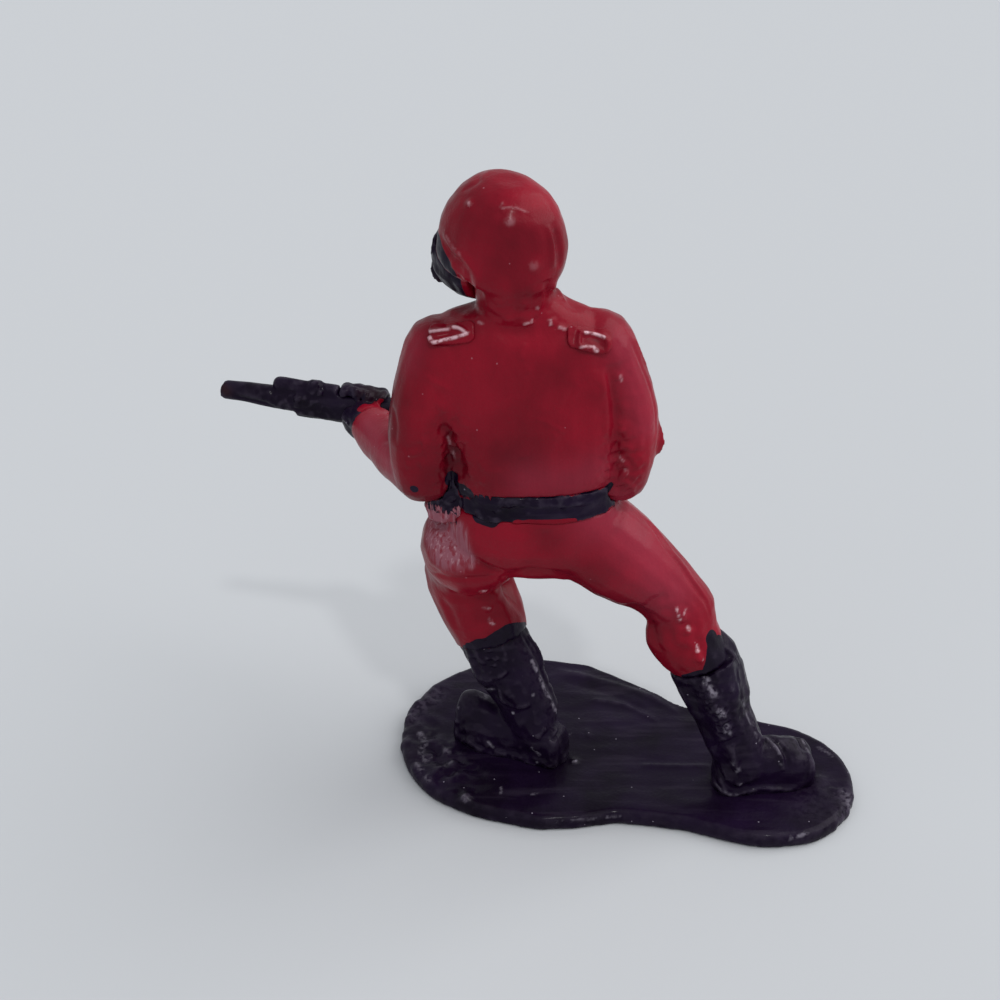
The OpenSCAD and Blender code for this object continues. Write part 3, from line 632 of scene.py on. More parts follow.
def figureFinish(name, finish):
    # soft black polythene, moulded in one shot, with thick crimson gloss enamel brushed over it by hand:
    # the plastic gives a dark satin skin with fine pebbling, and the enamel a wet, uneven, pooled gloss;
    # painted shade darkens the creases, and painted sheen and highlights lighten some patches, edges and
    # lumps
    material = bpy.data.materials.new(name)
    material.use_nodes = True
    tree = material.node_tree
    tree.nodes.clear()
    add = partial(addNode, tree)
    place = add("TexCoord", {}).outputs["Object"]
    painted = ("enamel", "bright", "deep", "pool", "scuff", "pale", "hollow", "worn", "ruddy")
    field = {key: add("Attribute", {}, attribute_name=key).outputs["Fac"] for key in painted}

    def drawn(size, scale, turn=(0.0, 0.0, 0.0), **more):
        # noise drawn out along one axis
        mapped = add("Mapping", {"Vector": place, "Scale": scale, "Rotation": turn})
        return add("TexNoise", sized(mapped, size, **more))

    def patchy(share, size, gaps):
        # a share broken up by a noise
        broken = add("MapRange", {"Value": add("TexNoise", sized(place, size)), **gaps})
        return add("Math", (share, broken), operation="MULTIPLY")

    def specks(facts):
        cells = add("TexVoronoi", {"Vector": place, "Scale": perMetre(facts["dustGap"])}, feature="F1")
        picked = add("Math", (cells.outputs["Color"], dustFree), operation="GREATER_THAN")
        small = add("Math", (cells.outputs["Distance"], facts["dustSize"]), operation="LESS_THAN")
        both = add("Math", (picked, small), operation="MULTIPLY")
        return add("Math", (both, facts["dustShare"]), operation="MULTIPLY")

    def layered(facts, first, second, layers):
        # two tones in broad patches, then each colour laid over them by its share
        tone = add("TexNoise", sized(place, facts["toneSize"]))
        tone = add("MapRange", {"Value": tone, **facts["toneRange"]})
        base = add("MixRGB", {"Fac": tone, "Color1": colour(facts[first]), "Color2": colour(facts[second])})
        for share, key in layers:
            if key == "shade":
                base = add("HueSaturation", {"Color": base, "Value": share})
            else:
                base = add("MixRGB", {"Fac": share, "Color1": base, "Color2": colour(facts[key])})
        return base

    # enamel
    crimson = crimsonFinish
    brush = drawn(crimson["brushSize"], (1.0, 1.0, 0.2), Distortion=0.6)
    drops = add("TexNoise", sized(place, crimson["dropSize"]))
    stroke = add("MapRange", {"Value": brush, **limits(*noiseMiddle, -0.5, 0.5)})
    shade = add("Math", (stroke, crimson["brushDepth"], 1.0), operation="MULTIPLY_ADD")
    # darker in the hollows: pooled enamel, and painted crease shade
    creaseShading = add("MapRange", {"Value": field["deep"], **crimson["creaseShadeRange"]})
    pooled = add("Math", (creaseShading, field["pool"]), operation="MAXIMUM")
    fibres = drawn(crimson["fibreSize"], (1.0, 1.0, 0.09), (0.0, 0.3, 0.0), Distortion=0.5)
    strands = drawn(crimson["strandSize"], (1.0, 1.0, 0.10), (0.0, 0.25, 0.0), Distortion=0.4)
    torn = add("MapRange", {"Value": strands, **crimson["strandRange"]})
    rubbed = add("Math", (field["scuff"], torn), operation="MULTIPLY")
    chalk = add("Math", (rubbed, crimson["chalkShare"]), operation="MULTIPLY")
    palest = add("MapRange", {"Value": fibres, **crimson["fibreRange"]})
    palest = add("Math", (rubbed, palest), operation="MULTIPLY")
    # pale marks on the enamel: painted highlights and glints
    rubAndHighlightShare = patchy(field["pale"], crimson["paleGapSize"], crimson["paleGapRange"])
    # layers: brush shade, painted sheen, pooled paint with painted crease shade, dust, the rubbed patch, and
    # pale marks that are mostly painted highlights
    coat = layered(crimson, "thick", "thin", (
        (shade, "shade"), (field["bright"], "bright"), (pooled, "pooled"), (specks(crimson), "dust"),
        (chalk, "chalk"), (palest, "fibre"), (rubAndHighlightShare, "rubAndHighlight")))

    # polythene
    polythene = polytheneFinish
    grain = add("TexNoise", sized(place, polythene["grainSize"], Detail=5.0))
    crest = add("MapRange", {"Value": field["hollow"], **polythene["crestRange"]})
    crest = patchy(crest, polythene["crestSize"], polythene["crestGaps"])
    crest = add("Math", (crest, polythene["crestShare"]), operation="MULTIPLY")
    # worn marks: rubbed wear, and painted highlights along the boots' folds
    worn = patchy(field["worn"], polythene["wearAndHighlightSize"], polythene["wearAndHighlightGaps"])
    worn = add("Math", (crest, worn), operation="MAXIMUM")
    streaks = drawn(polythene["streakSize"], (0.12, 1.0, 1.0), (0.0, 0.0, 0.15))
    streaks = add("MapRange", {"Value": streaks, **polythene["streakRange"]})
    streaks = add("Math", (streaks, polythene["streakShare"]), operation="MULTIPLY")
    worn = add("Math", (worn, streaks), operation="MAXIMUM")
    # pale lumps on the polythene: painted highlights, with rubbed wear on the stand
    rubAndHighlightLumps = patchy(field["pale"], polythene["paleGapSize"], polythene["paleGapRange"])
    plastic = layered(polythene, "dark", "light", (
        (worn, "worn"), (specks(polythene), "dust"), (field["ruddy"], "ruddy"), (rubAndHighlightLumps, "rubAndHighlight")))

    # the uneven edge of the enamel
    wander = add("TexNoise", sized(place, enamelEdge["size"], Detail=4.0))
    wander = add("Math", (wander, 0.5), operation="SUBTRACT")
    wander = add("Math", (wander, enamelEdge["depth"]), operation="MULTIPLY")
    edge = add("Math", (field["enamel"], wander), operation="ADD")
    tears = add("Math", (fibres, 0.5), operation="SUBTRACT")
    tears = add("Math", (tears, field["scuff"]), operation="MULTIPLY")
    tears = add("Math", (tears, enamelEdge["streakDepth"]), operation="MULTIPLY")
    edge = add("Math", (edge, tears), operation="ADD")
    cover = add("MapRange", {"Value": edge, **enamelEdge["range"]})
    skin = add("MixRGB", {"Fac": cover, "Color1": plastic, "Color2": coat})

    # gloss
    enamelRough = add("MapRange", {"Value": brush, **roughLimits(crimson)})
    chalkRough = add("Math", (rubbed, crimson["rubbedRoughness"]), operation="MULTIPLY")
    enamelRough = add("Math", (enamelRough, chalkRough), operation="ADD")
    plasticRough = add("MapRange", {"Value": grain, **roughLimits(polythene)})
    rough = add("Mix", {"Factor": cover, "A": plasticRough, "B": enamelRough})

    # relief too fine for the mesh: brush marks, orange peel, pebbling and the step at the paint's edge
    heights = {"brush": brush, "drops": drops, "grain": grain, "edge": cover, "fibres": fibres}
    below = {}
    for kind, depth in reliefDepth.items():
        inputs = {"Height": heights[kind], "Strength": reliefStrength, "Distance": depth * millimetre}
        below = {"Normal": add("Bump", {**inputs, **below})}
    shader = add("BsdfPrincipled", {
        "Base Color": skin, "Roughness": rough, "IOR": 1.5, "Specular IOR Level": finish["specular"],
        "Coat Weight": finish["coat"], "Coat Roughness": finish["coatRoughness"], **below})
    add("OutputMaterial", {"Surface": shader})
    return material


crimsonEnamel = figureFinish("crimsonEnamelOverBlackPolythene", crimsonFinish)
blackMoulding = figureFinish("mouldedBlackPolythene", polytheneFinish)
print("materials made")


# the painted figure

helmet = {"node": "helmet", "marks": [
    pull(2.2, (560, 250), by=(0.32, 0.0, 0.0)),
    pull(2.0, (449, 212), by=(-0.22, 0.0, 0.0)),
    pull(1.8, (544, 194), by=(0.26, 0.0, 0.10)),
    pull(3.2, (490, 176), (512, 174), (535, 182), by=(-0.08, 0.0, -0.30)),
    pull(1.7, (496, 304), (512, 306), (530, 302), by=(0.0, -0.45, 0.15)),
    pull(0.9, (447, 258), (457, 274), (466, 288), by=(0.22, 0.10, 0.10), oneSide=True),
    mark("even", 1.25, 1.0, (484, 288), (500, 296), (522, 299), (545, 292), (556, 280)),
    bare(0.50, 1.0, (437, 236), (441, 254), (448, 267), (454, 279), (459, 290)),
    bare(0.55, 1.0, (4.4, 41.3), (3.2, 41.6), (2.2, 42.4), view="left"),
    ridge(0.28, 0.13, (443, 232), (452, 248), (463, 257), (472, 268), (477, 280), (475, 298)),
    ridge(0.22, -0.10, (440, 236), (448, 252), (459, 262), (467, 273), (471, 284)),
    ridge(0.30, -0.13, (555, 228), (559, 250), (560, 268)),
    ridge(0.22, 0.10, (548, 225), (553, 248), (553, 268)),
    ridge(0.28, 0.20, (469, 203)),
    ridge(0.75, 0.08, (510, 221)),
    ridge(0.45, 0.12, (535, 267)),
    ridge(0.13, 0.05, (500, 205), (512, 207), (526, 212)),
    ridge(0.10, 0.05, (503, 200), (501, 212)),
    ridge(0.25, -0.08, (470, 172), (478, 180), (462, 190)),
    # painted highlights on the helmet's top and back, and a pale scratch across it
    pale(0.15, 0.36, (469, 203)),
    pale(0.30, 0.15, (510, 221)),
    pale(0.30, 0.10, (534, 266)),
    pale(0.07, 0.15, (502, 203), (502, 208), (513, 207), (527, 212)),
    pale(0.10, 0.12, (446, 236), (452, 246), (460, 255)),
    bare(0.22, 1.0, (436.5, 243), (438, 255), (444, 266), (453.5, 275)),
]}

hood = {"node": "hood", "marks": [
    ridge(0.30, -0.13, (547, 280), (546, 293)),
    ridge(0.32, 0.16, (551, 284), (558, 291), (563, 301)),
    grit(1.0, 0.16, (458, 275), (466, 290), grain=0.5),
]}

collar = {"node": "collar", "marks": [
    ridge(0.26, -0.11, (512, 313), (524, 313), (539, 309)),
    ridge(0.18, 0.14, (523, 325), (534, 320)),
    # painted glints on the collar's small ridges
    pale(0.10, 0.50, (524, 325), (533, 321)),
    pale(0.09, 0.40, (550, 320), (551, 325)),
    pale(0.09, 0.35, (559, 327), (565, 329)),
    pale(0.09, 0.25, (479, 322), (482, 324)),
    pale(0.09, 0.25, (537, 307), (538, 309)),
    ridge(0.45, -0.09, (474, 318), (482, 328), (496, 333), (515, 333), (533, 328)),
    ridge(0.22, 0.12, (551, 318), (552, 326)),
    ridge(0.18, 0.10, (557, 326), (569, 331)),
    ridge(0.25, 0.10, (478, 316), (481, 320)),
    grit(1.4, 0.16, (500, 318), (520, 308), (540, 300), grain=0.6),
]}

jacket = {"node": "jacket", "marks": [
    mark("even", 0.9, 0.9, (452, 385), (452, 410), (453, 435)),
    mark("even", 0.8, 0.9, (606, 385), (607, 410), (607, 440)),
    pull(2.0, (410, 330), (403, 352), (400, 375), by=(-0.04, 0.0, 0.02)),
    pull(1.5, (446, 313), (461, 307), by=(0.0, 0.0, -0.24)),
    ridge(0.40, -0.20, (440, 374), (437, 392), (437, 410), (445, 426), (452, 440), (457, 458), (461, 478)),
    ridge(0.60, -0.10, (454, 445), (458, 462), (462, 482)),
    ridge(0.30, 0.12, (436, 400), (446, 416), (458, 432), (466, 444)),
    ridge(0.20, 0.08, (424, 375), (436, 384), (454, 392)),
    mark("edge", 0.28, 0.62, (614, 480), (611, 458), (610, 438), (610, 418), (607, 385), (604, 366),
         reach=1.4),
    grit(1.0, 0.18, (613, 450), (618, 478), grain=0.40),
    grit(1.2, 0.22, (448, 425), (455, 450), (461, 478), grain=0.50),
    ridge(0.11, 0.06, (534, 418), (548, 423), (566, 433)),
    ridge(0.10, 0.06, (552, 430), (556, 438)),
    ridge(0.12, 0.07, (519, 459), (529, 455)),
    ridge(0.20, -0.06, (575, 385), (570, 396), (561, 412)),
    ridge(0.16, 0.05, (477, 458), (487, 471), (504, 472)),
    ridge(0.18, 0.10, (482, 481)),
    ridge(0.14, 0.07, (527, 344), (521, 352), (523, 361)),
    ridge(0.13, 0.06, (528, 366), (530, 373)),
    ridge(0.13, 0.06, (487, 372)),
    ridge(0.13, 0.06, (467, 370)),
    ridge(0.13, 0.06, (509, 421)),
    pull(0.9, (568, 300), by=(0.0, 0.0, -0.28)),
    pull(0.9, (592, 311), by=(0.0, 0.0, 0.22)),
    ridge(0.9, 0.10, (520, 420), (560, 440)),
    ridge(1.4, -0.10, (500, 365), (540, 380)),
    # painted shade: darker down the left armpit crease, with pooled paint
    mark("pool", 0.80, 0.18, (444, 418), (451, 438), (456, 456), (460, 474), (464, 490)),
    bare(0.55, 0.75, (452, 478), (458, 486), (466, 492)),
    # painted glints on the armpit's lumps
    pale(0.09, 0.22, (448, 437), (450, 444)),
    pale(0.09, 0.26, (453, 451), (454, 457)),
    # painted shade down the right side's crease, with pooled paint
    mark("pool", 0.55, 0.20, (611, 440), (614, 460), (616, 480)),
    # painted sheen: lighter across the lower back
    mark("bright", 1.6, 0.35, (596, 472), (570, 480), (530, 482)),
    bare(0.22, 0.5, (606, 490), (612, 483)),
    ridge(0.35, -0.14, (-8.6, 37.2), (-8.0, 33.0), (-7.4, 27.0), view="front"),  # front opening
    ridge(0.30, 0.10, (-9.3, 37.2), (-8.7, 33.0), (-8.1, 27.0), view="front"),
    ridge(0.8, -0.25, (-11.5, 31.0), (-9.5, 29.0), (-8.5, 27.0), view="front"),
    ridge(0.8, -0.22, (-3.4, 31.0), (-5.0, 29.0), (-6.2, 27.2), view="front"),
]}

leftShoulderStrap = {"node": "left_shoulder_strap", "marks": [
    ridge(0.15, 0.20, (427, 332), (433, 331), (441, 330), (449, 329), (455, 327), (461, 329), (466, 333),
         (460, 336), (452, 338), (443, 340), (433, 342), (430, 338), (427, 332), blunt=True),
    # painted highlights: the bright loop round the strap's edge
    pale(0.13, 0.90, (467, 333), (460, 336), (452, 338), (443, 340), (433, 342), (430, 338), (427, 332)),
    pale(0.10, 0.65, (427, 332), (433, 331), (441, 330), (449, 329)),
    pale(0.12, 0.80, (453, 327), (459, 328), (466, 333)),
]}

rightShoulderStrap = {"node": "right_shoulder_strap", "marks": [
    ridge(0.17, 0.22, (580, 333), (592, 334), (606, 339), (606, 350), (594, 350), (580, 346), (579, 338),
         (580, 333), blunt=True),
    # painted highlights: the bright lines along the strap's edges
    pale(0.12, 0.85, (586, 332), (594, 333), (604, 337)),
    pale(0.10, 0.45, (581, 347), (588, 346), (594, 347)),
    pale(0.13, 0.70, (594, 347), (597, 351)),
]}

leftSleeve = {"node": "left_sleeve", "marks": [
    ridge(0.35, -0.14, (404, 452), (412, 449), (423, 447)),
    ridge(0.30, -0.12, (406, 462), (414, 460), (426, 455)),
    ridge(0.30, -0.12, (403, 472), (412, 470), (421, 466)),
    ridge(0.28, 0.10, (408, 456), (424, 451)),
    ridge(0.20, 0.08, (436, 440), (442, 455), (437, 470)),
    grit(1.1, 0.20, (446, 440), (450, 465), (448, 482), grain=0.40),
    # painted shade in the crease by the body, with pooled paint
    mark("pool", 0.5, 0.25, (449, 436), (450, 452), (450, 470), (452, 486)),
    # painted sheen: lighter patches on the forearm and upper arm
    mark("bright", 1.3, 0.55, (366, 425), (378, 445), (390, 468)),
    mark("bright", 1.0, 0.25, (414, 345), (408, 362)),
    bare(0.32, 1.0, (414, 489)),
    ridge(0.25, -0.10, (392, 405), (396, 425), (394, 445)),
    ridge(0.7, -0.28, (-15.6, 29.6), (-13.8, 28.6), (-12.4, 28.8), view="front"),
    ridge(0.5, -0.20, (-16.6, 27.6), (-15.0, 27.4), view="front"),
    ridge(0.4, -0.16, (0.2, 30.5), (-1.0, 28.8), (-0.6, 27.2), view="left"),
]}

rightSleeve = {"node": "right_sleeve", "marks": [
    ridge(0.20, -0.13, (630, 338), (641, 362), (649, 384), (655, 410), (656, 436)),
    ridge(0.20, 0.10, (634, 338), (645, 362), (653, 384), (659, 410)),
    ridge(0.30, 0.16, (617, 373), (620, 380)),
    ridge(0.25, 0.12, (621, 428), (622, 434)),
    ridge(0.25, 0.12, (628, 449)),
    grit(1.5, 0.14, (615, 380), (622, 410), grain=0.8),
    # painted sheen: lighter down the upper arm where the window light falls
    mark("bright", 1.3, 0.42, (622, 345), (634, 375), (643, 405), (648, 425)),
    # a painted glint
    pale(0.08, 0.30, (621, 376), (621.5, 381)),
    grit(1.3, 0.24, (620, 445), (624, 482), grain=0.42),
    # painted shade in the crease by the body, with pooled paint
    mark("pool", 0.8, 0.20, (617, 440), (620, 462), (622, 482)),
    # painted glints near the elbow
    pale(0.08, 0.26, (620, 456), (623, 461)),
    pale(0.08, 0.24, (626, 469), (627, 473)),
    ridge(0.5, -0.10, (616, 400), (621, 425)),
    ridge(0.4, -0.18, (-3.5, 29.6), (-1.6, 28.6), (0.2, 29.0), view="front"),
    ridge(0.5, -0.18, (0.0, 29.5), (1.4, 27.8), (1.6, 26.0), view="right"),
]}

trouserSeat = {"node": "trouser_seat", "marks": [
    mark("even", 1.1, 0.8, (592, 525), (585, 545), (578, 568)),
    pull(1.1, (520, 577), (545, 577), by=(0.0, 0.0, 0.40)),
    pull(0.8, (530, 577), (546, 578), by=(0.0, 0.0, 0.60)),
    pull(0.6, (570, 577), by=(0.0, 0.0, -0.22)),
    pull(0.9, (442, 577), (460, 582), (482, 582), by=(0.0, 0.28, 0.16), oneSide=True),
    bare(0.42, 1.0, (480, 517), (491, 522)),
    mark("enamel", 0.38, 1.0, (512, 528), (525, 528), (552, 529), (570, 527), (586, 522)),
    ridge(0.6, -0.10, (545, 530), (540, 552), (536, 572)),
    ridge(0.12, 0.06, (492, 555), (497, 553)),
    ridge(0.12, 0.06, (500, 561)),
    mark("scuff", 1.15, 1.0, (440, 512), (448, 530), (450, 545), (453, 555)),
    mark("scuff", 0.8, 1.0, (433, 535), (437, 552), (441, 560)),
    mark("scuff", 0.6, 0.9, (460, 530), (464, 548), (468, 561)),
    ridge(0.5, -0.16, (-7.2, 24.0), (-6.9, 21.5), (-6.5, 19.5), view="front"),
]}

leftTrouserLeg = {"node": "left_trouser_leg", "marks": [
    bare(0.52, 1.0, (463, 652), (476, 646), (491, 641), (506, 631), (524, 629)),
    bare(0.36, 1.0, (482, 650), (496, 643), (512, 637), (522, 633)),
    pull(0.9, (513, 589), (517, 600), by=(-0.40, 0.0, 0.0)),
    pull(0.8, (512, 581), (514, 586), by=(-0.85, 0.0, 0.0)),
    pull(0.75, (440, 593), (457, 598), (478, 598), (492, 593), by=(0.0, -0.34, 0.04), oneSide=True),
    grit(0.8, 0.14, (470, 650), (484, 645), (500, 640), grain=0.4),
    mark("even", 1.1, 1.0, (436, 584), (465, 591), (490, 590)),
    ridge(0.28, -0.16, (474, 558), (484, 565), (504, 572)),
    ridge(0.22, -0.12, (431, 572), (455, 578), (480, 578), (503, 575)),
    ridge(0.16, -0.12, (500, 577), (510, 594), (518, 612), (521, 624)),
    ridge(0.14, 0.08, (504, 577), (514, 594), (522, 612)),
    ridge(0.22, 0.16, (480, 591), (487, 592)),
    ridge(0.20, 0.15, (484, 608), (491, 609)),
    ridge(0.22, 0.16, (488, 621), (494, 622)),
    # painted highlights on the calf's small lumps
    pale(0.10, 0.55, (481, 591), (486, 591)),
    pale(0.10, 0.40, (484, 608), (490, 609)),
    pale(0.10, 0.50, (489, 619), (491, 623), (494, 624)),
    grit(2.0, 0.12, (460, 595), (485, 620), grain=0.8),
    ridge(0.4, -0.12, (440, 600), (452, 612), (456, 628)),
    ridge(0.7, -0.22, (-13.6, 17.6), (-11.8, 17.0), (-10.0, 17.8), view="front"),
    ridge(0.5, -0.18, (-13.4, 14.2), (-12.0, 13.6), (-10.4, 14.2), view="front"),
]}

rightTrouserLeg = {"node": "right_trouser_leg", "marks": [
    ridge(0.15, -0.12, (644, 519), (655, 531), (666, 547), (678, 562), (689, 578), (699, 592), (707, 604),
         (712, 620)),
    ridge(0.14, 0.08, (648, 519), (659, 531), (670, 547), (682, 562), (693, 578), (703, 592), (711, 604)),
    ridge(0.28, 0.17, (676, 606), (679, 615), (683, 623)),
    ridge(0.22, 0.12, (686, 606), (682, 617)),
    ridge(0.28, 0.16, (687, 628), (689, 634)),
    ridge(0.28, 0.18, (697, 650), (699, 661)),
    ridge(0.22, 0.10, (693, 655), (703, 663)),
    # painted highlights: sparkles on the knee and calf
    pale(0.09, 0.65, (677, 609), (679, 616)),
    pale(0.12, 0.75, (680, 620)),
    pale(0.08, 0.45, (686, 609), (684, 614)),
    pale(0.11, 0.60, (688, 627), (689, 630)),
    pale(0.11, 0.65, (697, 646), (698, 651)),
    pale(0.10, 0.40, (703, 660)),
    ridge(0.35, -0.16, (646, 607), (656, 600), (668, 597)),
    ridge(0.45, -0.18, (668, 620), (672, 640), (684, 655)),
    ridge(0.40, -0.12, (652, 618), (654, 636), (662, 652)),
    grit(1.8, 0.13, (672, 612), (692, 650), grain=0.7),
    # painted sheen: lighter along the top of the thigh
    mark("bright", 2.3, 0.52, (600, 512), (622, 525), (645, 550), (672, 590)),
    bare(0.62, 1.0, (712, 638), (713, 648), (713, 658), (711, 668)),
    bare(0.30, 1.0, (670, 675), (684, 677), (700, 673)),
    bare(0.42, 1.0, (719, 640), (724, 652), (726, 662)),
    bare(0.34, 1.0, (719.5, 655), (719.5, 661)),
    pull(0.85, (638, 611), (647, 618), by=(-0.34, 0.0, 0.62)),
    pull(0.7, (648, 618), by=(-0.30, 0.0, 0.45)),
    pull(0.9, (651, 632), (653, 645), (659, 656), (666, 663), by=(-0.30, 0.0, 0.0)),
    bare(0.90, 1.0, (724, 646), (730, 656), (736, 664)),
    ridge(0.6, -0.20, (1.0, 18.4), (2.8, 17.2), (4.6, 17.4), view="front"),
    ridge(0.5, -0.18, (2.6, 13.2), (4.4, 12.8), (6.0, 13.4), view="front"),
]}

mould([leftTrouserLeg, rightTrouserLeg, trouserSeat, jacket, leftSleeve, rightSleeve, collar, hood, helmet],
      voxel=0.135, evenRounds=32, softRounds=4, waves=((5.0, 0.16), (1.7, 0.05)))
mould([leftShoulderStrap], voxel=0.07, evenRounds=3, softRounds=2)
mould([rightShoulderStrap], voxel=0.07, evenRounds=3, softRounds=2)


# the black parts

stand = {"node": "stand", "marks": [
    pull(1.3, (545, 822), (568, 822), by=(0.0, -0.30, 0.0), level=True),
    pull(1.4, (620, 824), (648, 827), (682, 831), by=(0.0, 0.45, 0.0), level=True),
    pull(1.5, (712, 838), (749, 844), (786, 844), by=(0.0, 0.26, 0.0), level=True),
    pull(1.5, (455, 810), (478, 816), (496, 820), by=(0.0, 0.26, 0.0), level=True),
    pull(1.8, (590, 675), (612, 683), (630, 691), by=(0.0, 0.70, 0.0), level=True),
    pull(1.5, (682, 706), (692, 709), by=(0.0, -0.50, 0.0), level=True),
    grit(2.2, 0.42, (425, 735), (432, 752), (448, 770), grain=1.0),
    grit(1.2, 0.26, (446, 750), (452, 772), grain=0.6),
    grit(1.0, 0.26, (405, 722), (420, 704), (436, 692), grain=0.7),
    ridge(0.45, 0.30, (466, 797)),
    ridge(0.30, 0.22, (575, 761)),
    ridge(0.35, 0.16, (555, 670), (600, 681), (640, 693), (680, 714)),
    ridge(0.30, -0.10, (560, 680), (605, 692), (650, 712)),
    ridge(0.25, 0.12, (590, 700), (625, 706), (660, 724)),
    ridge(0.25, 0.14, (640, 765), (680, 766), (712, 766)),
    ridge(0.16, 0.10, (586, 728), (590, 738)),
    ridge(0.5, 0.12, (820, 775), (822, 800)),
    ridge(0.4, -0.12, (842, 790), (848, 805), (838, 822)),
    grit(1.0, 0.18, (838, 790), (850, 800), (842, 818), grain=0.6),
    mark("worn", 0.8, 0.9, (846, 796), (850, 806), (842, 820)),
    mark("worn", 0.9, 0.7, (408, 718), (420, 704), (436, 693)),
    # pale marks here: painted highlights on the stand's rims and a few sparkles, and pale scratches and rubs
    # on the left lobe and the right end
    pale(0.13, 1.2, (575, 761)),
    pale(0.11, 1.0, (569, 734)),
    pale(0.20, 0.50, (420, 733), (425, 744), (421, 752), (427, 761)),
    pale(0.18, 0.40, (417, 763), (423, 772), (429, 780)),
    pale(0.22, 0.42, (446, 747), (448, 752)),
    pale(0.22, 0.36, (452, 761), (446, 766)),
    pale(0.15, 0.60, (431, 756)),
    pale(0.20, 0.45, (463, 796), (466, 800)),
    pale(0.09, 0.60, (501, 788), (501, 793)),
    pale(0.09, 0.60, (533, 794), (537, 794)),
    pale(0.10, 0.35, (553, 822), (585, 819), (619, 816)),
    pale(0.13, 0.60, (790, 838), (799, 836), (807, 833)),
    pale(0.22, 0.42, (844, 791), (848, 800), (850, 808)),
    pale(0.12, 0.45, (818, 747), (832, 756)),
    mark("worn", 1.4, 0.2, (815, 782), (808, 810)),
]}

leftBoot = {"node": "left_boot", "marks": [
    ridge(0.30, 0.14, (465, 645), (475, 640), (491, 636), (506, 627), (523, 626)),
    grit(1.5, 0.20, (491, 660), grain=0.45),
    mark("edge", 0.20, 0.26, (470, 668), (474, 676), (484, 681), (498, 680), (507, 674), (510, 664),
         reach=0.7),
    ridge(0.16, 0.16, (526, 632), (535, 646), (543, 661), (550, 680), (558, 698), (565, 714)),
    ridge(0.14, -0.10, (521, 632), (530, 648), (539, 664), (546, 682), (554, 700)),
    mark("edge", 0.30, 0.45, (447, 725), (447, 712), (453, 702), (461, 694), (471, 689), (485, 688),
         (497, 689), reach=0.9),
    mark("edge", 0.22, 0.30, (496, 688), (499, 699), (506, 705), (518, 709), (532, 706), reach=0.9),
    ridge(0.30, -0.18, (470, 681), (483, 686), (498, 688), (505, 700), (518, 708)),
    pull(1.6, (478, 700), by=(-0.36, -0.15, 0.86)),
    pull(0.9, (476, 664), (481, 677), by=(-0.34, 0.0, 0.0)),
    pull(1.0, (537, 662), (543, 680), (549, 698), (556, 712), by=(0.45, 0.0, 0.0)),
    pull(0.9, (528, 638), (532, 650), by=(0.20, 0.0, 0.0)),
    # painted highlights: a pale line down the parting line, along the heel's top, and sparkles
    pale(0.15, 0.80, (532, 661), (539, 675), (545, 690), (552, 703), (558, 716)),
    pale(0.12, 0.55, (455, 700), (462, 692), (473, 689), (494, 689)),
    pale(0.35, 0.40, (484, 696)),
    pale(0.12, 1.2, (458, 708)),
    pale(0.11, 1.1, (513, 713)),
    pale(0.12, 0.9, (533, 695)),
    pale(0.12, 0.8, (488, 742), (493, 747)),
    pale(0.10, 0.8, (532, 748), (540, 755)),
    pale(0.12, 0.9, (537, 762)),
    grit(1.0, 0.16, (490, 748), (510, 754), (535, 761), (556, 765), grain=0.55),
    grit(1.8, 0.10, (520, 700), (540, 735), grain=0.8),
    ridge(0.2, 0.18, (536, 738), (541, 732), (546, 728)),
    ridge(0.2, -0.12, (552, 742), (560, 730), (561, 716)),
    ridge(0.18, 0.14, (458, 708)),
    # these two marks are painted highlights along the parting line and the heel's top
    mark("worn", 0.9, 0.35, (526, 645), (540, 680), (555, 712)),
    mark("worn", 0.9, 0.35, (462, 692), (485, 692)),
]}
leftSole = {"node": "left_sole", "marks": [
    grit(0.8, 0.20, (456, 726), (466, 740), (484, 750), grain=0.5),
]}

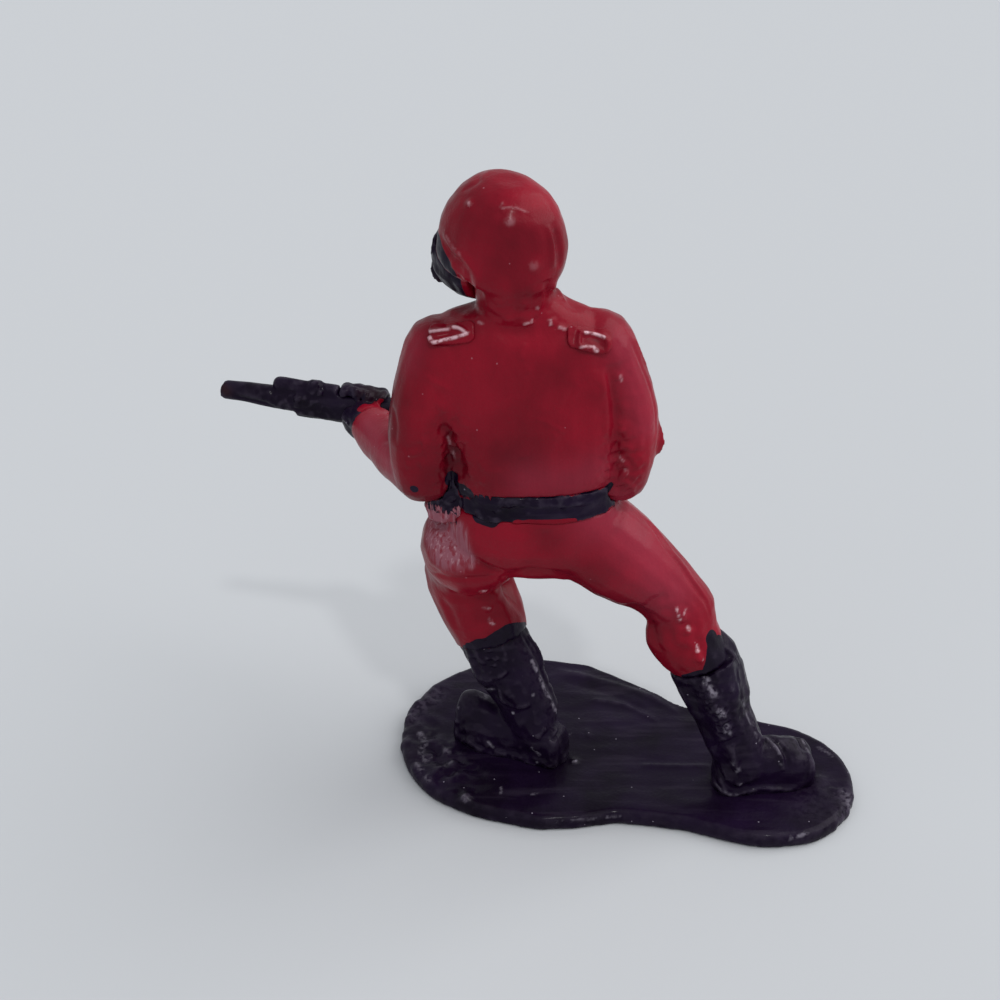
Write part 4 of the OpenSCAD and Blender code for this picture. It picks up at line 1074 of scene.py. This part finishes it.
rightBoot = {"node": "right_boot", "marks": [
    ridge(0.22, 0.14, (669, 674), (680, 673), (694, 674), (706, 669)),
    ridge(0.18, 0.16, (708, 642), (720, 646), (732, 654), (740, 666)),
    pull(1.6, (728, 664), by=(0.10, -0.12, 0.05), oneSide=True),
    pull(1.2, (748, 666), (750, 684), (751, 704), by=(-0.48, 0.0, 0.0)),
    pull(1.3, (776, 741), (792, 743), by=(-0.06, 0.0, 0.40)),
    bare(0.38, 1.0, (722, 636), (728, 650), (731, 662)),
    bare(0.30, 1.0, (674, 678), (690, 681), (706, 675)),
    pull(0.8, (811, 747), by=(-0.38, 0.0, -0.22)),
    # painted highlights along the shin's ridge, the folds, the toe and the sole
    pale(0.28, 0.75, (706, 680), (710, 688), (714, 694)),
    pale(0.26, 0.85, (720, 712), (723, 718)),
    pale(0.24, 0.75, (726, 727), (728, 733)),
    pale(0.22, 0.55, (733, 763), (739, 773)),
    pale(0.14, 1.1, (741, 785)),
    pale(0.24, 0.55, (717, 650), (720, 657)),
    pale(0.12, 0.40, (743, 700), (747, 716), (754, 730), (760, 742)),
    pale(0.12, 0.40, (768, 738), (778, 749), (781, 764)),
    pale(0.10, 0.45, (770, 733), (789, 731), (802, 740), (809, 753)),
    pale(0.10, 0.35, (714, 783), (728, 794), (744, 793)),
    ridge(0.40, -0.20, (707, 668), (710, 680), (720, 694)),
    ridge(0.35, 0.22, (698, 676), (706, 688), (714, 702), (722, 718), (728, 733)),
    ridge(0.28, 0.18, (730, 742), (734, 756), (738, 772)),
    grit(0.8, 0.22, (703, 680), (716, 704), (726, 730), grain=0.35),
    ridge(0.60, -0.28, (686, 684), (698, 710), (711, 738), (722, 762), (728, 780)),
    ridge(0.16, 0.10, (679, 686), (688, 708), (700, 734), (711, 754)),
    ridge(0.22, -0.12, (710, 749), (724, 744), (738, 738)),
    ridge(0.22, 0.20, (752, 722), (760, 737), (772, 744), (781, 756), (783, 772)),
    ridge(0.20, 0.16, (776, 740), (788, 750)),
    ridge(0.20, -0.14, (764, 733), (774, 740), (784, 752), (788, 768)),
    mark("edge", 0.20, 0.22, (772, 733), (786, 733), (799, 739), (807, 751), (809, 768), (804, 784),
         reach=0.6),
    ridge(0.16, 0.14, (710, 757), (712, 772), (718, 787), (730, 795), (744, 793), (758, 789), (772, 789),
         (786, 790), (802, 789)),
    ridge(0.25, -0.14, (716, 757), (719, 772), (725, 783), (735, 788), (750, 785)),
    ridge(0.22, 0.18, (739, 785)),
    grit(1.5, 0.12, (730, 690), (745, 720), grain=0.6),
    # these two marks are painted highlights along the folds and the toe
    mark("worn", 0.8, 0.45, (744, 664), (747, 690), (754, 722), (764, 740)),
    mark("worn", 0.9, 0.35, (776, 746), (792, 740), (806, 756)),
]}
rightSole = {"node": "right_sole"}

belt = {"node": "belt", "marks": [
    ridge(0.22, 0.14, (478, 503), (520, 504), (560, 505), (595, 502)),
    bare(0.30, 1.0, (474, 498), (490, 500), (512, 501)),
    mark("enamel", 0.30, 1.0, (512, 524), (525, 523), (552, 523), (570, 522), (588, 521)),
    ridge(0.30, 0.22, (561, 500)),
    ridge(0.22, -0.16, (563, 511)),
    ridge(0.16, 0.10, (500, 495), (502, 508)),
    grit(1.0, 0.18, (485, 518), (515, 516), grain=0.5),
]}
buckle = {"node": "buckle"}
hipPouch = {"node": "hip_pouch", "marks": [
    grit(2.0, 0.30, (440, 495), (460, 505), grain=0.6),
    mark("enamel", 0.75, 1.0, (430, 519), (444, 521), (460, 523), (470, 520)),
    mark("enamel", 0.70, 0.55, (432, 511), (446, 512), (462, 513), (470, 511)),
    mark("scuff", 1.2, 1.0, (430, 512), (444, 517), (460, 519)),
    mark("worn", 0.16, 0.8, (434, 494), (438, 502), (443, 509)),
    mark("worn", 0.15, 0.8, (437, 493), (443, 500), (449, 504)),
]}

faceMask = {"node": "face_mask", "marks": [
    grit(1.4, 0.14, (436, 245), (440, 268), (452, 285), grain=0.9),
    mark("enamel", 0.50, 0.9, (466, 272), (468, 284), (472, 296)),
    mark("worn", 0.6, 0.2, (437, 240), (441, 252)),
    bare(0.34, 1.0, (435, 238), (437, 250), (441, 262), (448, 271), (455, 277)),
]}
leftEyepiece = {"node": "left_eyepiece"}
rightEyepiece = {"node": "right_eyepiece"}
maskFilter = {"node": "mask_filter"}

leftGlove = {"node": "left_glove", "marks": [
    ridge(0.18, 0.14, (334, 399), (338, 408), (343, 417), (349, 424)),
    ridge(0.25, 0.20, (352, 388), (360, 392), (368, 394)),
    grit(1.2, 0.12, (345, 398), (360, 392), (380, 392), grain=0.5),
    mark("enamel", 0.55, 1.0, (364, 407), (380, 406), (396, 406)),
    pull(1.0, (348, 388), (364, 388), (382, 391), by=(0.0, 0.0, 0.16)),
    pull(0.9, (344, 431), by=(0.32, 0.0, 0.16)),
    mark("even", 0.9, 0.8, (344, 390), (360, 388), (384, 392)),
    mark("ruddy", 1.2, 0.4, (368, 392), (388, 396)),
]}
rightGlove = {"node": "right_glove"}

barrel = {"node": "barrel", "marks": [
    pull(0.9, (225, 391), by=(-0.26, 0.0, 0.0)),
    mark("ruddy", 0.40, 0.7, (223, 388), (226, 392)),
    ridge(0.22, -0.12, (233, 396), (255, 401), (275, 406)),
    grit(0.8, 0.08, (265, 396), (285, 402), grain=0.4),
]}
gasTube = {"node": "gas_tube", "marks": [ridge(0.30, 0.12, (312, 382), (320, 384))]}
handguard = {"node": "handguard", "marks": [
    grit(1.2, 0.10, (300, 402), (320, 408), grain=0.4),
    ridge(0.20, 0.18, (317, 393), (323, 394)),
    ridge(0.18, 0.12, (298, 396), (297, 408)),
]}
receiver = {"node": "receiver"}
magazine = {"node": "magazine"}
pistolGrip = {"node": "pistol_grip"}
stock = {"node": "stock"}

# waves: their size and height in mm, and how far they are drawn out along each axis
mould([stand], voxel=0.17, evenRounds=5, softRounds=1,
      waves=((2.2, 0.10, (4.0, 1.0, 1.0)), (0.8, 0.05, (3.0, 1.0, 1.0))))
mould([leftBoot, leftSole], voxel=0.10, evenRounds=14, softRounds=3, waves=((2.5, 0.12), (0.7, 0.05)))
mould([rightBoot, rightSole], voxel=0.10, evenRounds=14, softRounds=3, waves=((2.5, 0.12), (0.7, 0.05)))
mould([belt], voxel=0.10, evenRounds=5, softRounds=3, waves=((1.2, 0.12),))
mould([buckle], voxel=0.08, evenRounds=2, softRounds=1)
mould([hipPouch], voxel=0.10, evenRounds=6, softRounds=3, waves=((1.0, 0.10),))
mould([faceMask, leftEyepiece, rightEyepiece, maskFilter], voxel=0.09, evenRounds=8, softRounds=2,
      waves=((1.5, 0.08),))
mould([leftGlove], voxel=0.09, evenRounds=8, softRounds=14, waves=((1.0, 0.06),))
mould([rightGlove], voxel=0.09, evenRounds=8, softRounds=4, waves=((1.0, 0.10),))
mould([barrel, gasTube, handguard, receiver, magazine, pistolGrip, stock], voxel=0.09, evenRounds=5,
      softRounds=7, waves=((1.6, 0.05),))


# floor and light

studio = {
    "floor": "#c2c4c6",
    "floorRoughness": 0.85,
    "floorSide": 60.0,  # metres
    "sky": "#cccfd4",
    "skyStrength": 1.0,
    "lampAim": (-0.006, 0.0, 0.02),  # metres, the figure's waist
    # the window at the right, and the small lamp that gives the sparkles; the spreads are degrees
    "key": {"place": (0.58, 0.08, 0.56), "spread": 66.0, "strength": 1.85},
    "top": {"place": (0.05, -0.25, 0.46), "spread": 4.0, "strength": 0.42},
}


def makeStage():
    bpy.ops.mesh.primitive_plane_add(size=studio["floorSide"])
    floor = bpy.context.object
    floor.name = "floor"
    material = bpy.data.materials.new("matteTabletop")
    material.use_nodes = True
    shader = material.node_tree.nodes["Principled BSDF"]
    shader.inputs["Base Color"].default_value = colour(studio["floor"])
    shader.inputs["Roughness"].default_value = studio["floorRoughness"]
    shader.inputs["Specular IOR Level"].default_value = 0.0
    floor.data.materials.append(material)


def makeLamp(name, lampFacts):
    data = bpy.data.lights.new(name, "SUN")
    data.angle = math.radians(lampFacts["spread"])
    data.energy = lampFacts["strength"]
    lamp = bpy.data.objects.new(name, data)
    lamp.location = lampFacts["place"]
    aim = Vector(studio["lampAim"]) - Vector(lampFacts["place"])
    lamp.rotation_euler = aim.to_track_quat("-Z", "Y").to_euler()
    bpy.context.scene.collection.objects.link(lamp)


def makeWorld():
    world = bpy.data.worlds.new("studio")
    bpy.context.scene.world = world
    world.use_nodes = True
    tree = world.node_tree
    tree.nodes.clear()
    sky = addNode(tree, "Background", {"Color": colour(studio["sky"]), "Strength": studio["skyStrength"]})
    addNode(tree, "OutputWorld", {"Surface": sky})


makeStage()
makeWorld()
makeLamp("windowKey", studio["key"])
makeLamp("topSparkle", studio["top"])
bpy.context.scene.view_settings.view_transform = "Standard"
print("stage made")
